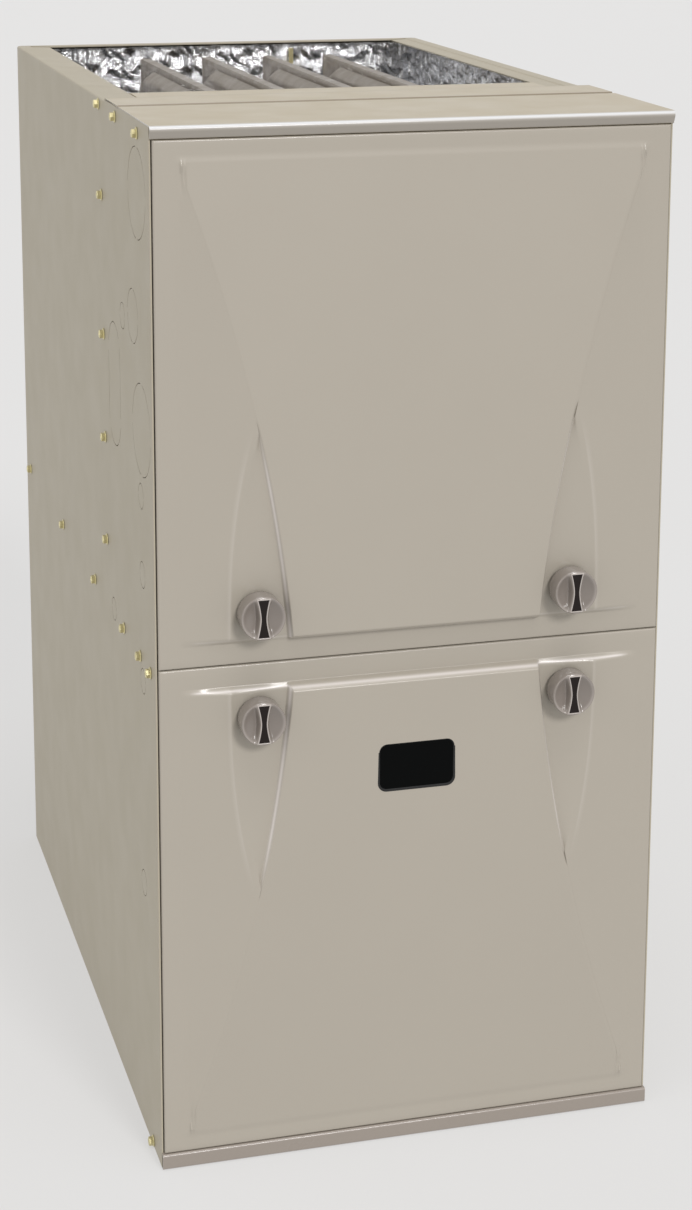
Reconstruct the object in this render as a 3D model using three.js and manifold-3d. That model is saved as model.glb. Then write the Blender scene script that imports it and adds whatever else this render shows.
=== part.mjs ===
// Forced air gas furnace: upflow, condensing, four primary cells, two lift-off doors.
// Millimetres, +Z up. The origin is at the middle of the footprint on the floor and the
// doors face -Y. Every sub-part is one closed solid with its own name.
import * as THREE from 'three';
import { mergeVertices } from 'three/addons/utils/BufferGeometryUtils.js';
import Module from 'manifold-3d';

const wasm = await Module();
wasm.setup();

// ---------------------------------------------------------------- driving dimensions
// Cabinet
const cabinetWidth = 438;
const cabinetHeight = 889;
const cabinetDepth = 728;        // nose of the cap to the back wall
const knobStand = 21.3;          // knob faces ahead of the nose of the cap
const sheet = 1.2;               // casing steel
const seat = 0.3;                // gap kept between two pieces that touch
const wallSetback = 5;           // front edges of the side walls behind the nose
const outletFlange = 32;         // duct flange at the left and right of the outlet
const rearFlange = 16;           // duct flange at the back of the outlet
const outletFront = 258;         // front edge of the outlet behind the nose
const flangeLip = 8;             // turned-down edge at the front of the outlet
const floorFlange = 28;          // inward flange at the foot of the walls
const jambWidth = 20;            // casing return that a door closes against
// Cap, rail and shelf
const capRear = 199.5;           // rear edge of the cap behind the nose
const capJoggle = 141;           // line where the cap steps down
const joggleDrop = 0.9;
const noseHeight = 11;
const noseRadius = 5;
const capFlange = 16;
const capWallRoom = 60;          // the cap's nose is cut back beside the walls this far
const railHeight = 13.5;
const railDepth = 40;
const shelfLevel = 427;          // top face of the blower shelf
const shelfFlange = 16;
const panelSetback = 215;        // cell panel behind the nose
const panelFlange = 15;
const linerThickness = 6;
// Doors
const doorSplit = 444.3;
const doorGap = 1.4;
const doorSheet = 1.6;
const doorSetback = 2;           // flat border of a door behind the nose
const doorPanDepth = 20;
const doorSideGap = 1;
const borderWidth = 15.5;
const topBorder = 11;
const stripHeight = 16.5;        // flat strip of each door beside the split
const rampHeight = 4.6;          // slope from the strip up to the raised field
const fieldHeight = 9.8;         // how far the raised field stands out near the split
const lipHeight = 0.9;
const sweepFootInset = 108.8;    // foot of the raised field's edge in from the door's side
const spearTipHeight = 205;      // tip of the spear above or below the split
const spearTipInset = 79.8;      // the same at the tip of the spear
const spearOuterInset = 57.8;    // outer edge of the spear beside the split
const spearDepth = 8.4;
const stepRun = 2.6;
// Latch knobs
const knobInset = 82.2;          // knob axes in from the door's side
const knobFromSplit = 45;
const knobRadius = 18.8;
const scoopInset = 5.8;          // middles of the finger scoops in from the knob's rim
const scoopRadii = [9.6, 9, 14.6];
const tieMargin = 2.6;           // ends of the dark recess in from the knob's rim
const tieHalfEnd = 4.6;
const tieHalfWaist = 2;
const knobSeatHeight = 5.8;      // knob base ahead of the flat border
const knobShaft = 7;
const shaftPlay = 0.5;
const pawlLength = 24;
const pawlWidth = 6.5;
const pawlThickness = 2.5;
const keeperWidth = 36;
const keeperOverrun = 18;        // keeper plate beyond each knob axis
// Sight window
const sightWidth = 66;
const sightHeight = 41;
const sightLevel = 346;
const sightCorner = 7;
const sightLap = 6;
// Heat exchanger
const cellCount = 4;
const cellPitch = 65;
const cellPasses = 4;
const cellBelly = 18;            // half thickness of a cell at a pass
const cellNeck = 6;              // half thickness between passes
const cellDrop = 8.6;            // cell tops below the casing's top
const cellClearance = 30;        // cells above the condensing coil
const cellLength = 430;
const cellSheet = 1.2;
const coilBottom = 456;
const coilHeight = 96;
const coilInset = 57.5;          // coil in from the inside of the walls
const coilTube = 8;
const coilLength = 424;
const coilPlate = 1.5;
const coilColumns = 6;
const coilRows = 3;
const transitionDepth = 22;
const transitionBelow = 30;      // transition box around the cells' lowest pass
const transitionAbove = 34;
const transitionMargin = 8;
// Burners
const burnerRadius = 13;
const burnerBoxFront = 120;
const burnerBoxHalfHeight = 38;
const burnerBoxOverrun = 36;     // burner box beyond the outer burner axes
const manifoldSetback = 98;
const manifoldRadius = 9;
const valveWidth = 52;
const valveHeight = 74;
const valveDepth = 56;
// Inducer and condensate
const inducerAcross = 26;
const inducerLevel = 506;
const inducerFront = 132;
const inducerRear = 171;
const inducerRadius = 58;
const inducerWheelRadius = 44;
const inducerMotorRadius = 41;
const inducerMotorFront = 66;
const collectorInset = 77.5;     // collector box in from the inside of the walls
const collectorBottom = 450;
const collectorTop = 548;
const collectorFront = 172;
const ventRadius = 30;
// Blower
const wheelRadius = 125;
const wheelDepth = 21;
const wheelHalfWidth = 100;
const wheelBlades = 18;
const blowerSetback = 440;       // blower axis behind the nose
const blowerLevel = 197;
const housingHalfWidth = 118;
const housingWall = 1.2;
const scrollStart = 136;
const scrollEnd = 202;
const inletRadius = 112;
const blowerMotorRadius = 62;
const blowerShaft = 6.3;
const bandThickness = 2.5;
const bandWidth = 17;
const armThickness = 3;
const armHalfWidth = 8;
const armReach = 24;             // bracket arms beyond the edge of the inlet
const motorOverhang = 4;         // motor beyond the side of the housing
// Controls
const controlSetback = 42;
const boardWidth = 176;
const boardHeight = 92;
const boardThickness = 1.6;
const controlLeft = -112;
const controlRight = 176;
const controlBottom = 288;
const controlDepth = 26;
const controlTopDepth = 30;      // fold that screws to the shelf
const boardStandoff = 8;
const boardInset = 10;
const relayCount = 3;
const relayPitch = 26;
const relayWidth = 19;
const relayHeight = 24;
const relayDepth = 15;
const terminalDepth = 9;
const transformerWidth = 52;
const transformerDepth = 34;
const transformerRise = 62;      // middle of the transformer above the control box's foot
const switchDepth = 26;
const switchHalfHeight = 15;
const plungerRadius = 3;
const plungerLevel = 386;
// Small parts
const portRadius = 4;            // hose spigots
const portLength = 12;
const hoseRadius = 4;
const spudRadius = 5;
const igniterRadius = 2.4;
const sensorRadius = 1.4;
const probeRadius = 4;
const resetRadius = 3;
const resetTravel = 2;
const rolloutSetback = 166;
const pressurePortInset = 44;    // hose spigots in from the collector box's left end
const pressurePortZ = 524;
const drainPortInset = 30;
const drainPortZ = 464;
const pressureInset = 57.5;      // pressure switch in from the inside of the left wall
const pressureZ = 600;
const pressureRadius = 27;
const pressureSpigotFront = 36;  // the switch's spigot, ahead of the cell panel
const pressureSpigotRear = 20;
const trapWidth = 56;
const trapFromWall = 11.5;
const trapPortInset = 12;
const trapFront = 64;
const trapBack = 140;
const trapTop = 506;
const elbowRadius = 19;
const elbowWall = 2.5;
const inducerNeck = 92;          // top of the inducer's outlet above its axis
const ventRise = 190;            // where the elbow turns to the side, above the door split
const ventStraight = 12;
const ventLean = 10;
const ventForward = 62;          // the elbow's end ahead of the inducer's outlet
const ventBend = 48;

// ---------------------------------------------------------------- places worked out
const half = cabinetWidth / 2;
const backY = (cabinetDepth + knobStand) / 2;
const noseY = backY - cabinetDepth;
const behind = (distance) => noseY + distance;
const casingTop = cabinetHeight - sheet - joggleDrop - seat;
const insideHalf = half - sheet - seat;
const doorHalf = half - sheet - doorSideGap;
const sweepFoot = doorHalf - sweepFootInset;
const spearTipReach = doorHalf - spearTipInset;
const spearOuterFoot = doorHalf - spearOuterInset;
const knobAcross = doorHalf - knobInset;
const coilHalfWidth = insideHalf - coilInset;
const collectorHalfWidth = insideHalf - collectorInset;
const pressurePortX = pressurePortInset - collectorHalfWidth;
const drainPortX = drainPortInset - collectorHalfWidth;
const pressureX = pressureInset - insideHalf;
const noseBottom = cabinetHeight - noseHeight;
const doorBack = doorSetback + doorPanDepth;
const jambSetback = doorBack + seat;
const keeperSetback = jambSetback + 1.5;
const keeperBack = keeperSetback + sheet;
const pawlSetback = keeperBack + 2.5;
const shelfFrontEdge = keeperBack + seat;
const panelRear = panelSetback + sheet;
const cellFront = panelRear + seat;
const cellTop = casingTop - cellDrop;
const coilTop = coilBottom + coilHeight;
const cellBottom = coilTop + cellClearance;
const passPitch = (cellTop - cellBottom) / cellPasses;
const burnerLevel = cellTop - passPitch / 2;
const upperHeight = noseBottom - 0.5 - doorSplit - doorGap / 2;
const lowerHeight = doorSplit - doorGap / 2 - railHeight - seat;
const cellPlaces = Array.from({ length: cellCount }, (_, i) => (i - (cellCount - 1) / 2) * cellPitch);
const blowerY = behind(blowerSetback);
const shelfUnder = shelfLevel - sheet;

// ---------------------------------------------------------------- finishes
const finish = (color, roughness, metalness) =>
  new THREE.MeshStandardMaterial({ color, roughness, metalness, flatShading: true });
const greigePaint = finish(0xb2aa9b, 0.45, 0.1);
const tanPaint = finish(0xc3b9a5, 0.45, 0.1);
const galvanised = finish(0xa9adb0, 0.4, 0.8);
const aluminisedSteel = finish(0x9aa0a5, 0.35, 0.85);
const foil = finish(0xc9cdd0, 0.25, 0.9);
const knobPlastic = finish(0xa0968e, 0.3, 0);
const darkGlass = finish(0x0a0c0c, 0.08, 0);
const blackPlastic = finish(0x202224, 0.5, 0);
const blackRubber = finish(0x161616, 0.85, 0);
const blackPaint = finish(0x1b1c1e, 0.4, 0.3);
const castAluminium = finish(0xb7babd, 0.45, 0.8);
const boardGreen = finish(0x1e5a3a, 0.5, 0);
const ceramic = finish(0xe6e2d8, 0.7, 0);
const redPlastic = finish(0xb3322a, 0.4, 0);
const whitePlastic = finish(0xe8e8e4, 0.4, 0);
const clearTube = finish(0xd9d6c8, 0.5, 0);

// ---------------------------------------------------------------- solid helpers
function solid(geometry) {
  const bare = geometry.clone();
  for (const name of ['normal', 'uv']) bare.deleteAttribute(name);
  const welded = mergeVertices(bare, 1e-4);
  // Whole microns, so that faces meant to lie in one plane do.
  const places = Float32Array.from(welded.attributes.position.array, (v) => Math.round(v * 1000) / 1000);
  const corner = (i) => new THREE.Vector3().fromArray(places, 3 * i);
  const triangles = [];
  let volume = 0;
  for (let t = 0; t < welded.index.count; t += 3) {
    const [a, b, c] = [0, 1, 2].map((k) => welded.index.getX(t + k));
    if (a === b || b === c || c === a) continue;
    triangles.push([a, b, c]);
    volume += corner(a).dot(corner(b).cross(corner(c)));
  }
  const outward = triangles.map(([a, b, c]) => (volume < 0 ? [a, c, b] : [a, b, c]));
  const triVerts = Uint32Array.from(outward.flat());
  return new wasm.Manifold(new wasm.Mesh({ numProp: 3, vertProperties: places, triVerts }));
}
const join = (first, ...others) => others.reduce((all, next) => all.add(next), first);
const cut = (body, ...tools) => tools.reduce((left, tool) => left.subtract(tool), body);

function block(x, y, z) {
  const spans = [x, y, z].map(([a, b]) => [Math.min(a, b), Math.max(a, b)]);
  const box = new THREE.BoxGeometry(...spans.map(([a, b]) => b - a));
  return solid(box.translate(...spans.map(([a, b]) => (a + b) / 2)));
}

// Frames that carry a drawn shape (its x, its y and its depth) onto the world's axes.
const axisX = new THREE.Vector3(1, 0, 0);
const axisY = new THREE.Vector3(0, 1, 0);
const axisZ = new THREE.Vector3(0, 0, 1);
const frames = {
  x: new THREE.Matrix4().makeBasis(axisY, axisZ, axisX),
  y: new THREE.Matrix4().makeBasis(axisX.clone().negate(), axisZ, axisY),
  z: new THREE.Matrix4().makeBasis(axisX, axisY, axisZ),
};
// A shape drawn in (y, z), (-x, z) or (x, y), carried from one place to another on its axis.
function prism(axis, shape, from, to, curveSegments = 8) {
  const options = { depth: Math.abs(to - from), bevelEnabled: false, curveSegments };
  const body = new THREE.ExtrudeGeometry(shape, options);
  body.translate(0, 0, Math.min(from, to));
  return solid(body.applyMatrix4(frames[axis]));
}
const polygon = (points) => new THREE.Shape(points.map(([a, b]) => new THREE.Vector2(a, b)));

// A profile of [radius, place on the axis] turned about an axis through two other coordinates.
const turnFrames = {
  x: new THREE.Matrix4().makeBasis(axisZ, axisX, axisY),
  y: new THREE.Matrix4().makeBasis(axisX.clone().negate(), axisY, axisZ),
  z: new THREE.Matrix4().makeBasis(axisY, axisZ, axisX),
};
function centre(axis, first, second) {
  if (axis === 'x') return [0, first, second];
  if (axis === 'y') return [first, 0, second];
  return [first, second, 0];
}
function turned(axis, profile, first, second, sides = 24) {
  const points = profile.map(([r, a]) => new THREE.Vector2(r, a));
  const body = new THREE.LatheGeometry(points, sides);
  return solid(body.applyMatrix4(turnFrames[axis]).translate(...centre(axis, first, second)));
}
const rod = (axis, from, to, radius, first, second, sides = 20) =>
  turned(axis, [[0, from], [radius, from], [radius, to], [0, to]], first, second, sides);
const ring = (axis, from, to, inner, outer, first, second, sides = 24) =>
  turned(axis, [[inner, from], [outer, from], [outer, to], [inner, to], [inner, from]],
    first, second, sides);

function roundedRectangle(width, height, radius) {
  const [w, h] = [width / 2, height / 2];
  const shape = new THREE.Shape();
  shape.moveTo(-w + radius, -h);
  shape.lineTo(w - radius, -h);
  shape.absarc(w - radius, -h + radius, radius, -Math.PI / 2, 0);
  shape.absarc(w - radius, h - radius, radius, 0, Math.PI / 2);
  shape.absarc(-w + radius, h - radius, radius, Math.PI / 2, Math.PI);
  shape.absarc(-w + radius, -h + radius, radius, Math.PI, Math.PI * 1.5);
  return shape;
}
// A tube along a smooth curve; with a bore it is open at both ends.
function tube(points, radius, steps, sides = 8, bore = 0) {
  const path = new THREE.CatmullRomCurve3(points.map((p) => new THREE.Vector3(...p)));
  const circle = (r) => polygon(Array.from({ length: sides }, (_, i) => {
    const angle = (2 * Math.PI * i) / sides;
    return [r * Math.cos(angle), r * Math.sin(angle)];
  }));
  const section = circle(radius);
  if (bore > 0) section.holes.push(circle(bore));
  return solid(new THREE.ExtrudeGeometry(section, { steps, extrudePath: path }));
}

// A solid's surface as a geometry, its corners on a grid of hundredths of a millimetre.
function surface(body) {
  const { vertProperties, triVerts } = body.getMesh();
  const places = Float32Array.from(vertProperties, (v) => Math.round(v * 100) / 100);
  const geometry = new THREE.BufferGeometry();
  geometry.setAttribute('position', new THREE.BufferAttribute(places, 3));
  geometry.setIndex(new THREE.BufferAttribute(Uint32Array.from(triVerts), 1));
  return mergeVertices(geometry, 1e-3);
}

const furnace = new THREE.Group();
const weldTolerance = 0.01;
function assembly() {
  const group = new THREE.Group();
  furnace.add(group);
  return group;
}
function place(group, name, body, material, at = [0, 0, 0]) {
  const mesh = new THREE.Mesh(surface(solid(surface(body)).simplify(weldTolerance)), material);
  mesh.name = name;
  mesh.position.set(...at);
  group.add(mesh);
}
const bothSides = [-1, 1];

// ---------------------------------------------------------------- casing
function casingWrapper() {
  const parts = [block([-half, half], [backY - sheet, backY], [0, casingTop])];
  const flangeFront = behind(capJoggle + 24);
  for (const side of bothSides) {
    const face = side * half;
    parts.push(
      block([face, face - side * sheet], [behind(wallSetback), backY], [0, casingTop]),
      block([face, face - side * outletFlange], [flangeFront, backY], [casingTop - sheet, casingTop]),
      block([face, face - side * floorFlange], [behind(railDepth + seat), backY], [0, sheet]),
      block([face, face - side * jambWidth], [behind(jambSetback), behind(jambSetback + sheet)],
        [railHeight + 0.5, casingTop]),
    );
  }
  parts.push(
    block([-half, half], [backY - rearFlange, backY], [casingTop - sheet, casingTop]),
    block([-half, half], [backY - floorFlange, backY], [0, sheet]),
  );
  const plungerHole = rod('y', behind(jambSetback - 1), behind(jambSetback + sheet + 1),
    plungerRadius + shaftPlay, plungerAcross, plungerLevel);
  // The steel under the cap lies one seat lower, so nothing overhangs the duct flanges.
  const underCap = block([-half - 1, half + 1], [noseY, behind(capRear + seat)],
    [casingTop - seat, casingTop + 1]);
  return cut(join(...parts), plungerHole, underCap);
}

function noseProfile() {
  const [front, top, inner] = [noseY, cabinetHeight, noseRadius - sheet];
  const shape = new THREE.Shape();
  shape.moveTo(front + noseRadius, top);
  shape.absarc(front + noseRadius, top - noseRadius, noseRadius, Math.PI / 2, Math.PI);
  shape.lineTo(front, noseBottom);
  shape.lineTo(front + 14, noseBottom);
  shape.lineTo(front + 14, noseBottom + sheet);
  shape.lineTo(front + sheet, noseBottom + sheet);
  shape.lineTo(front + sheet, top - noseRadius);
  shape.absarc(front + noseRadius, top - noseRadius, inner, Math.PI, Math.PI / 2, true);
  return shape;
}

function topCap() {
  const plateBottom = cabinetHeight - sheet;
  const nose = prism('x', noseProfile(), -half, half, 5);
  const front = block([-half, half], [behind(noseRadius - 0.5), behind(capJoggle)],
    [plateBottom, cabinetHeight]);
  const rear = block([-half, half], [behind(capJoggle - sheet), behind(capRear)],
    [plateBottom - joggleDrop, cabinetHeight - joggleDrop]);
  const wallRoom = bothSides.map((side) => block(
    [side * (half + 1), side * insideHalf], [behind(wallSetback - seat), behind(capWallRoom)],
    [noseBottom - 1, casingTop + seat]));
  const flanges = bothSides.map((side) => block(
    [side * insideHalf, side * (insideHalf - sheet)], [behind(jambSetback + 4), behind(capJoggle + 18)],
    [plateBottom - joggleDrop - capFlange, plateBottom + 0.2]));
  return join(cut(nose, ...wallRoom), front, rear, ...flanges);
}

function outletFrontFlange() {
  const reach = half - outletFlange - seat;
  return join(
    block([-reach, reach], [behind(capJoggle + 24), behind(outletFront)], [casingTop - sheet, casingTop]),
    block([-reach, reach], [behind(outletFront - sheet), behind(outletFront)],
      [casingTop - flangeLip, casingTop]),
    block([-reach, reach], [behind(cellFront), behind(cellFront + sheet)], [cellTop + 2, casingTop]),
  );
}

function baseRail() {
  const ends = half;
  const frontPart = block([-ends, ends], [noseY, behind(wallSetback - seat)], [0, railHeight]);
  const hollow = block([-ends - 1, ends + 1], [behind(sheet), behind(wallSetback + 30)],
    [sheet, railHeight - sheet]);
  const shelf = block([-insideHalf, insideHalf], [noseY, behind(doorBack - 1)],
    [railHeight - sheet, railHeight]);
  const foot = block([-insideHalf, insideHalf], [noseY, behind(railDepth)], [0, sheet]);
  return join(cut(frontPart, hollow), shelf, foot);
}

function basePanel() {
  return block([-insideHalf, insideHalf], [behind(jambSetback + 4), backY - sheet - seat],
    [sheet + seat, 2 * sheet + seat]);
}

function blowerShelf() {
  const [front, rear] = [behind(shelfFrontEdge), backY - sheet - seat];
  const outlet = block([-housingHalfWidth + 8, housingHalfWidth - 8],
    [neckFrontY + 8, neckRearY - 8], [shelfUnder - 1, shelfLevel + 1]);
  const sides = bothSides.map((side) => block(
    [side * insideHalf, side * (insideHalf - sheet)], [front + 3, rear],
    [shelfUnder, shelfLevel + shelfFlange]));
  const plate = block([-insideHalf, insideHalf], [front, rear], [shelfUnder, shelfLevel]);
  const rearFold = block([-insideHalf, insideHalf], [rear - sheet, rear],
    [shelfUnder, shelfLevel + shelfFlange]);
  const frontFold = block([-insideHalf, insideHalf], [front, front + sheet],
    [shelfLevel - 12, shelfLevel]);
  return join(cut(plate, outlet), ...sides, rearFold, frontFold);
}

function cellPanel() {
  const reach = insideHalf - sheet - seat;
  const [low, high] = [shelfLevel + seat, casingTop - sheet - seat];
  const plate = block([-reach, reach], [behind(panelSetback), behind(panelRear)], [low, high]);
  const sides = bothSides.map((side) => block(
    [side * reach, side * (reach - sheet)], [behind(panelSetback), behind(panelRear + panelFlange)],
    [low, high]));
  const ports = cellPlaces.map((x) => rod('y', behind(panelSetback - 1), behind(panelRear + 1),
    burnerRadius + 4, x, burnerLevel, 16));
  const flues = cellPlaces.map((x) => rod('y', behind(panelSetback - 1), behind(panelRear + 1),
    burnerRadius, x, cellBottom + passPitch / 2, 12));
  const coilWindow = block([-collectorHalfWidth + 12, collectorHalfWidth - 12],
    [behind(panelSetback - 1), behind(panelRear + 1)], [coilBottom + 8, collectorTop - 10]);
  return cut(join(plate, ...sides), ...ports, ...flues, coilWindow);
}

function keeperPlate() {
  const reach = knobFromSplit + keeperOverrun;
  const plate = block([-keeperWidth / 2, keeperWidth / 2], [behind(keeperSetback), behind(keeperBack)],
    [doorSplit - reach, doorSplit + reach]);
  const slot = roundedRectangle(pawlWidth + 2.5, pawlLength + 3, 3);
  const slots = bothSides.map((up) => prism('y', slot, behind(keeperSetback - 1),
    behind(keeperBack + 1), 2).translate([0, 0, doorSplit + up * knobFromSplit]));
  return cut(plate, ...slots);
}

// ---------------------------------------------------------------- doors
// The edge of the raised field is a parabola through its foot at the strip, the tip of the
// spear and the top corner of the border; q is the distance from the split.
function sweepReach(q, cornerHeight) {
  const corner = doorHalf - borderWidth;
  const [run, rise] = [spearTipHeight - stripHeight, spearTipReach - sweepFoot];
  const [farRun, farRise] = [cornerHeight - stripHeight, corner - sweepFoot];
  const bend = (farRise / farRun - rise / run) / (farRun - run);
  const slope = rise / run - bend * run;
  const along = q - stripHeight;
  return sweepFoot + slope * along + bend * along * along;
}
// The field is full near the split and bends back towards the far border.
function fieldRise(q, cornerHeight) {
  const along = Math.max(0, (q - stripHeight - rampHeight) / (cornerHeight - stripHeight - rampHeight));
  return lipHeight + fieldHeight * (1 - along ** 2.2);
}
// One row of the door's surface: [reach across, height above the border] from middle to edge.
function doorRow(q, cornerHeight) {
  const edge = sweepReach(Math.min(Math.max(q, stripHeight), cornerHeight), cornerHeight);
  const corner = doorHalf - borderWidth;
  const rise = fieldRise(q, cornerHeight);
  const toTip = Math.min(1, (q - stripHeight) / (spearTipHeight - stripHeight));
  const inSpear = toTip < 1;
  const outer = Math.max(edge + 2 * stepRun,
    spearOuterFoot - (spearOuterFoot - spearTipReach) * Math.max(0, toTip) ** 2.5);
  const depth = inSpear ? spearDepth * Math.sqrt(1 - Math.max(0, toTip)) : 0;
  const wing = (x) => THREE.MathUtils.mapLinear(x, edge, corner - 1.5, rise, lipHeight);
  const floor = inSpear ? rise - depth : wing(edge + stepRun);
  const brim = inSpear ? rise - 0.9 * depth : wing(outer);
  const reaches = [0, edge * 0.5, edge - 2, edge + stepRun, outer, corner - 1.5, corner, doorHalf];
  const heights = [rise, rise, rise - 0.2, floor, brim, lipHeight, 0, 0];
  const flat = q <= stripHeight || q > cornerHeight;
  const limited = reaches.map((x, i) => Math.min(x, corner - 1.5 * (6 - i)));
  return reaches.map((x, i) => [i > 4 ? x : limited[i], flat ? 0 : Math.max(0, heights[i])]);
}
function doorRows(height) {
  const cornerHeight = height - topBorder;
  const rampTop = stripHeight + rampHeight;
  const spearSteps = 6;
  const fieldSteps = 6;
  const rows = [0, stripHeight];
  for (let i = 0; i <= spearSteps; i += 1) {
    rows.push(THREE.MathUtils.lerp(rampTop, spearTipHeight, i / spearSteps));
  }
  for (let i = 1; i <= fieldSteps; i += 1) {
    rows.push(THREE.MathUtils.lerp(spearTipHeight, cornerHeight, i / fieldSteps));
  }
  rows.push(cornerHeight + 1.5, height);
  return rows.map((q) => ({ q, row: doorRow(q, cornerHeight) }));
}
// A pressed pan: the raised skin, its inner face one sheet behind it, and flanges turned back.
function doorPan(height, up) {
  const rows = doorRows(height);
  if (up < 0) rows.reverse();
  const level = (q) => doorSplit + up * (doorGap / 2 + q);
  const grid = rows.map(({ q, row }) => {
    const right = row.map(([x, rise]) => [x, rise, q]);
    const left = right.slice(1).reverse().map(([x, rise]) => [-x, rise, q]);
    return [...left, ...right];
  });
  const [last, top] = [grid[0].length - 1, grid.length - 1];
  const inward = (v, i, end, step) => (i === 0 ? v + step : i === end ? v - step : v);
  const outerPoint = (j, i) => {
    const [x, rise, q] = grid[j][i];
    return [x, behind(doorSetback) - rise, level(q)];
  };
  const innerPoint = (j, i) => {
    const [x, y, z] = outerPoint(j, i);
    return [inward(x, i, last, doorSheet), y + doorSheet, inward(z, j, top, doorSheet)];
  };
  const triangles = [];
  const quad = (a, b, c, d) => triangles.push(a, b, c, a, c, d);
  for (let j = 0; j < top; j += 1) {
    for (let i = 0; i < last; i += 1) {
      const corners = [[j, i], [j, i + 1], [j + 1, i + 1], [j + 1, i]];
      quad(...corners.map(([a, b]) => outerPoint(a, b)));
      quad(...corners.reverse().map(([a, b]) => innerPoint(a, b)));
    }
  }
  const loop = [];
  for (let i = 0; i < last; i += 1) loop.push([0, i]);
  for (let j = 0; j < top; j += 1) loop.push([j, last]);
  for (let i = last; i > 0; i -= 1) loop.push([top, i]);
  for (let j = top; j > 0; j -= 1) loop.push([j, 0]);
  const atBack = ([x, , z]) => [x, behind(doorBack), z];
  loop.forEach((from, k) => {
    const to = loop[(k + 1) % loop.length];
    const [outA, outB] = [outerPoint(...from), outerPoint(...to)];
    const [inA, inB] = [innerPoint(...from), innerPoint(...to)];
    quad(outB, outA, atBack(outA), atBack(outB));
    quad(atBack(outB), atBack(outA), atBack(inA), atBack(inB));
    quad(atBack(inB), atBack(inA), inA, inB);
  });
  const geometry = new THREE.BufferGeometry();
  geometry.setAttribute('position', new THREE.Float32BufferAttribute(triangles.flat(), 3));
  const index = Array.from({ length: triangles.length }, (_, i) => i);
  geometry.setIndex(index);
  return solid(geometry);
}
function knobHoles(up) {
  return bothSides.map((side) => rod('y', behind(-knobStand), behind(doorBack),
    knobShaft / 2 + shaftPlay, side * knobAcross, doorSplit + up * knobFromSplit, 10));
}
const sightRise = fieldRise(doorSplit - doorGap / 2 - sightLevel - sightHeight / 2,
  lowerHeight - topBorder);
const sightBack = doorSetback - sightRise + doorSheet + 1.2;
function sightShape(extra) {
  return roundedRectangle(sightWidth + 2 * extra, sightHeight + 2 * extra, sightCorner + extra);
}
function lowerDoor() {
  const window = prism('y', sightShape(0), behind(-knobStand), behind(doorSetback + 6), 3)
    .translate([0, 0, sightLevel]);
  return cut(doorPan(lowerHeight, -1), ...knobHoles(-1), window);
}
function sightGasket() {
  const frame = prism('y', sightShape(sightLap), behind(sightBack), behind(sightBack + 1.5), 3);
  const opening = prism('y', sightShape(0), behind(sightBack - 1), behind(sightBack + 3), 3);
  return cut(frame, opening);
}
function sightGlass() {
  const front = sightBack + 1.5 + seat;
  return prism('y', sightShape(sightLap), behind(front), behind(front + 3), 3);
}

// ---------------------------------------------------------------- latch knobs
function bowTie(halfHeight, halfEnd, halfWaist) {
  const sideSteps = 4;
  const rightSide = Array.from({ length: sideSteps + 1 }, (_, i) => {
    const t = -1 + (2 * i) / sideSteps;
    return [halfWaist + (halfEnd - halfWaist) * t * t, t * halfHeight];
  });
  const leftSide = rightSide.map(([x, z]) => [-x, -z]);
  return polygon([...rightSide, ...leftSide]);
}
function latchKnob() {
  const base = behind(doorSetback - knobSeatHeight);
  const face = behind(-knobStand);
  const profile = [[0, base], [knobRadius, base], [knobRadius, face + 6], [knobRadius - 0.8, face + 3],
    [knobRadius - 3, face + 0.6], [0, face]];
  const body = turned('y', profile, 0, 0, 24);
  const scoops = bothSides.map((across) => solid(new THREE.SphereGeometry(1, 10, 8)
    .scale(...scoopRadii).translate(across * (knobRadius - scoopInset), face - 1, 0)));
  const recess = prism('y', bowTie(knobRadius - tieMargin, tieHalfEnd, tieHalfWaist), face - 1, face + 2.2);
  const shaft = rod('y', base - 1, behind(pawlSetback) - seat, knobShaft / 2, 0, 0, 10);
  return join(cut(body, ...scoops, recess), shaft);
}
function latchPawl() {
  const bar = roundedRectangle(pawlWidth, pawlLength, 2);
  return prism('y', bar, behind(pawlSetback), behind(pawlSetback + pawlThickness), 1);
}

// ---------------------------------------------------------------- heat exchanger
// A pressed cell: the passes swell the sheet on both sides; it is a tub open at the front.
function cellOutline(inset) {
  const steps = cellPasses * 4;
  const right = [];
  for (let i = 0; i <= steps; i += 1) {
    const z = cellBottom + inset + ((cellTop - cellBottom - 2 * inset) * i) / steps;
    const swell = Math.sin((Math.PI * (z - cellBottom)) / passPitch) ** 2;
    right.push([cellNeck + (cellBelly - cellNeck) * swell - inset, z]);
  }
  return [...right, ...right.map(([x, z]) => [-x, z]).reverse()];
}
function heatCell() {
  const front = behind(cellFront);
  const outer = prism('y', polygon(cellOutline(0)), front, front + cellLength);
  const inner = prism('y', polygon(cellOutline(cellSheet)), front - 1, front + cellLength - cellSheet);
  return cut(outer, inner);
}
function condensingCoil() {
  const front = behind(cellFront);
  const rear = front + coilLength;
  const [low, high] = [shelfLevel + seat, coilTop];
  const parts = [
    block([-coilHalfWidth, coilHalfWidth], [front, front + coilPlate], [low, high]),
    block([-coilHalfWidth, coilHalfWidth], [rear - coilPlate, rear], [low, high]),
  ];
  const columnPitch = (2 * coilHalfWidth) / (coilColumns + 0.5);
  for (let i = 0; i < coilColumns; i += 1) {
    for (let j = 0; j < coilRows; j += 1) {
      const x = (i - (coilColumns - 1) / 2) * columnPitch;
      const z = coilBottom + (coilHeight * (j + 0.5)) / coilRows;
      parts.push(rod('y', front + coilPlate / 2, rear - coilPlate / 2, coilTube, x, z, 6));
    }
  }
  return join(...parts);
}
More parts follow.
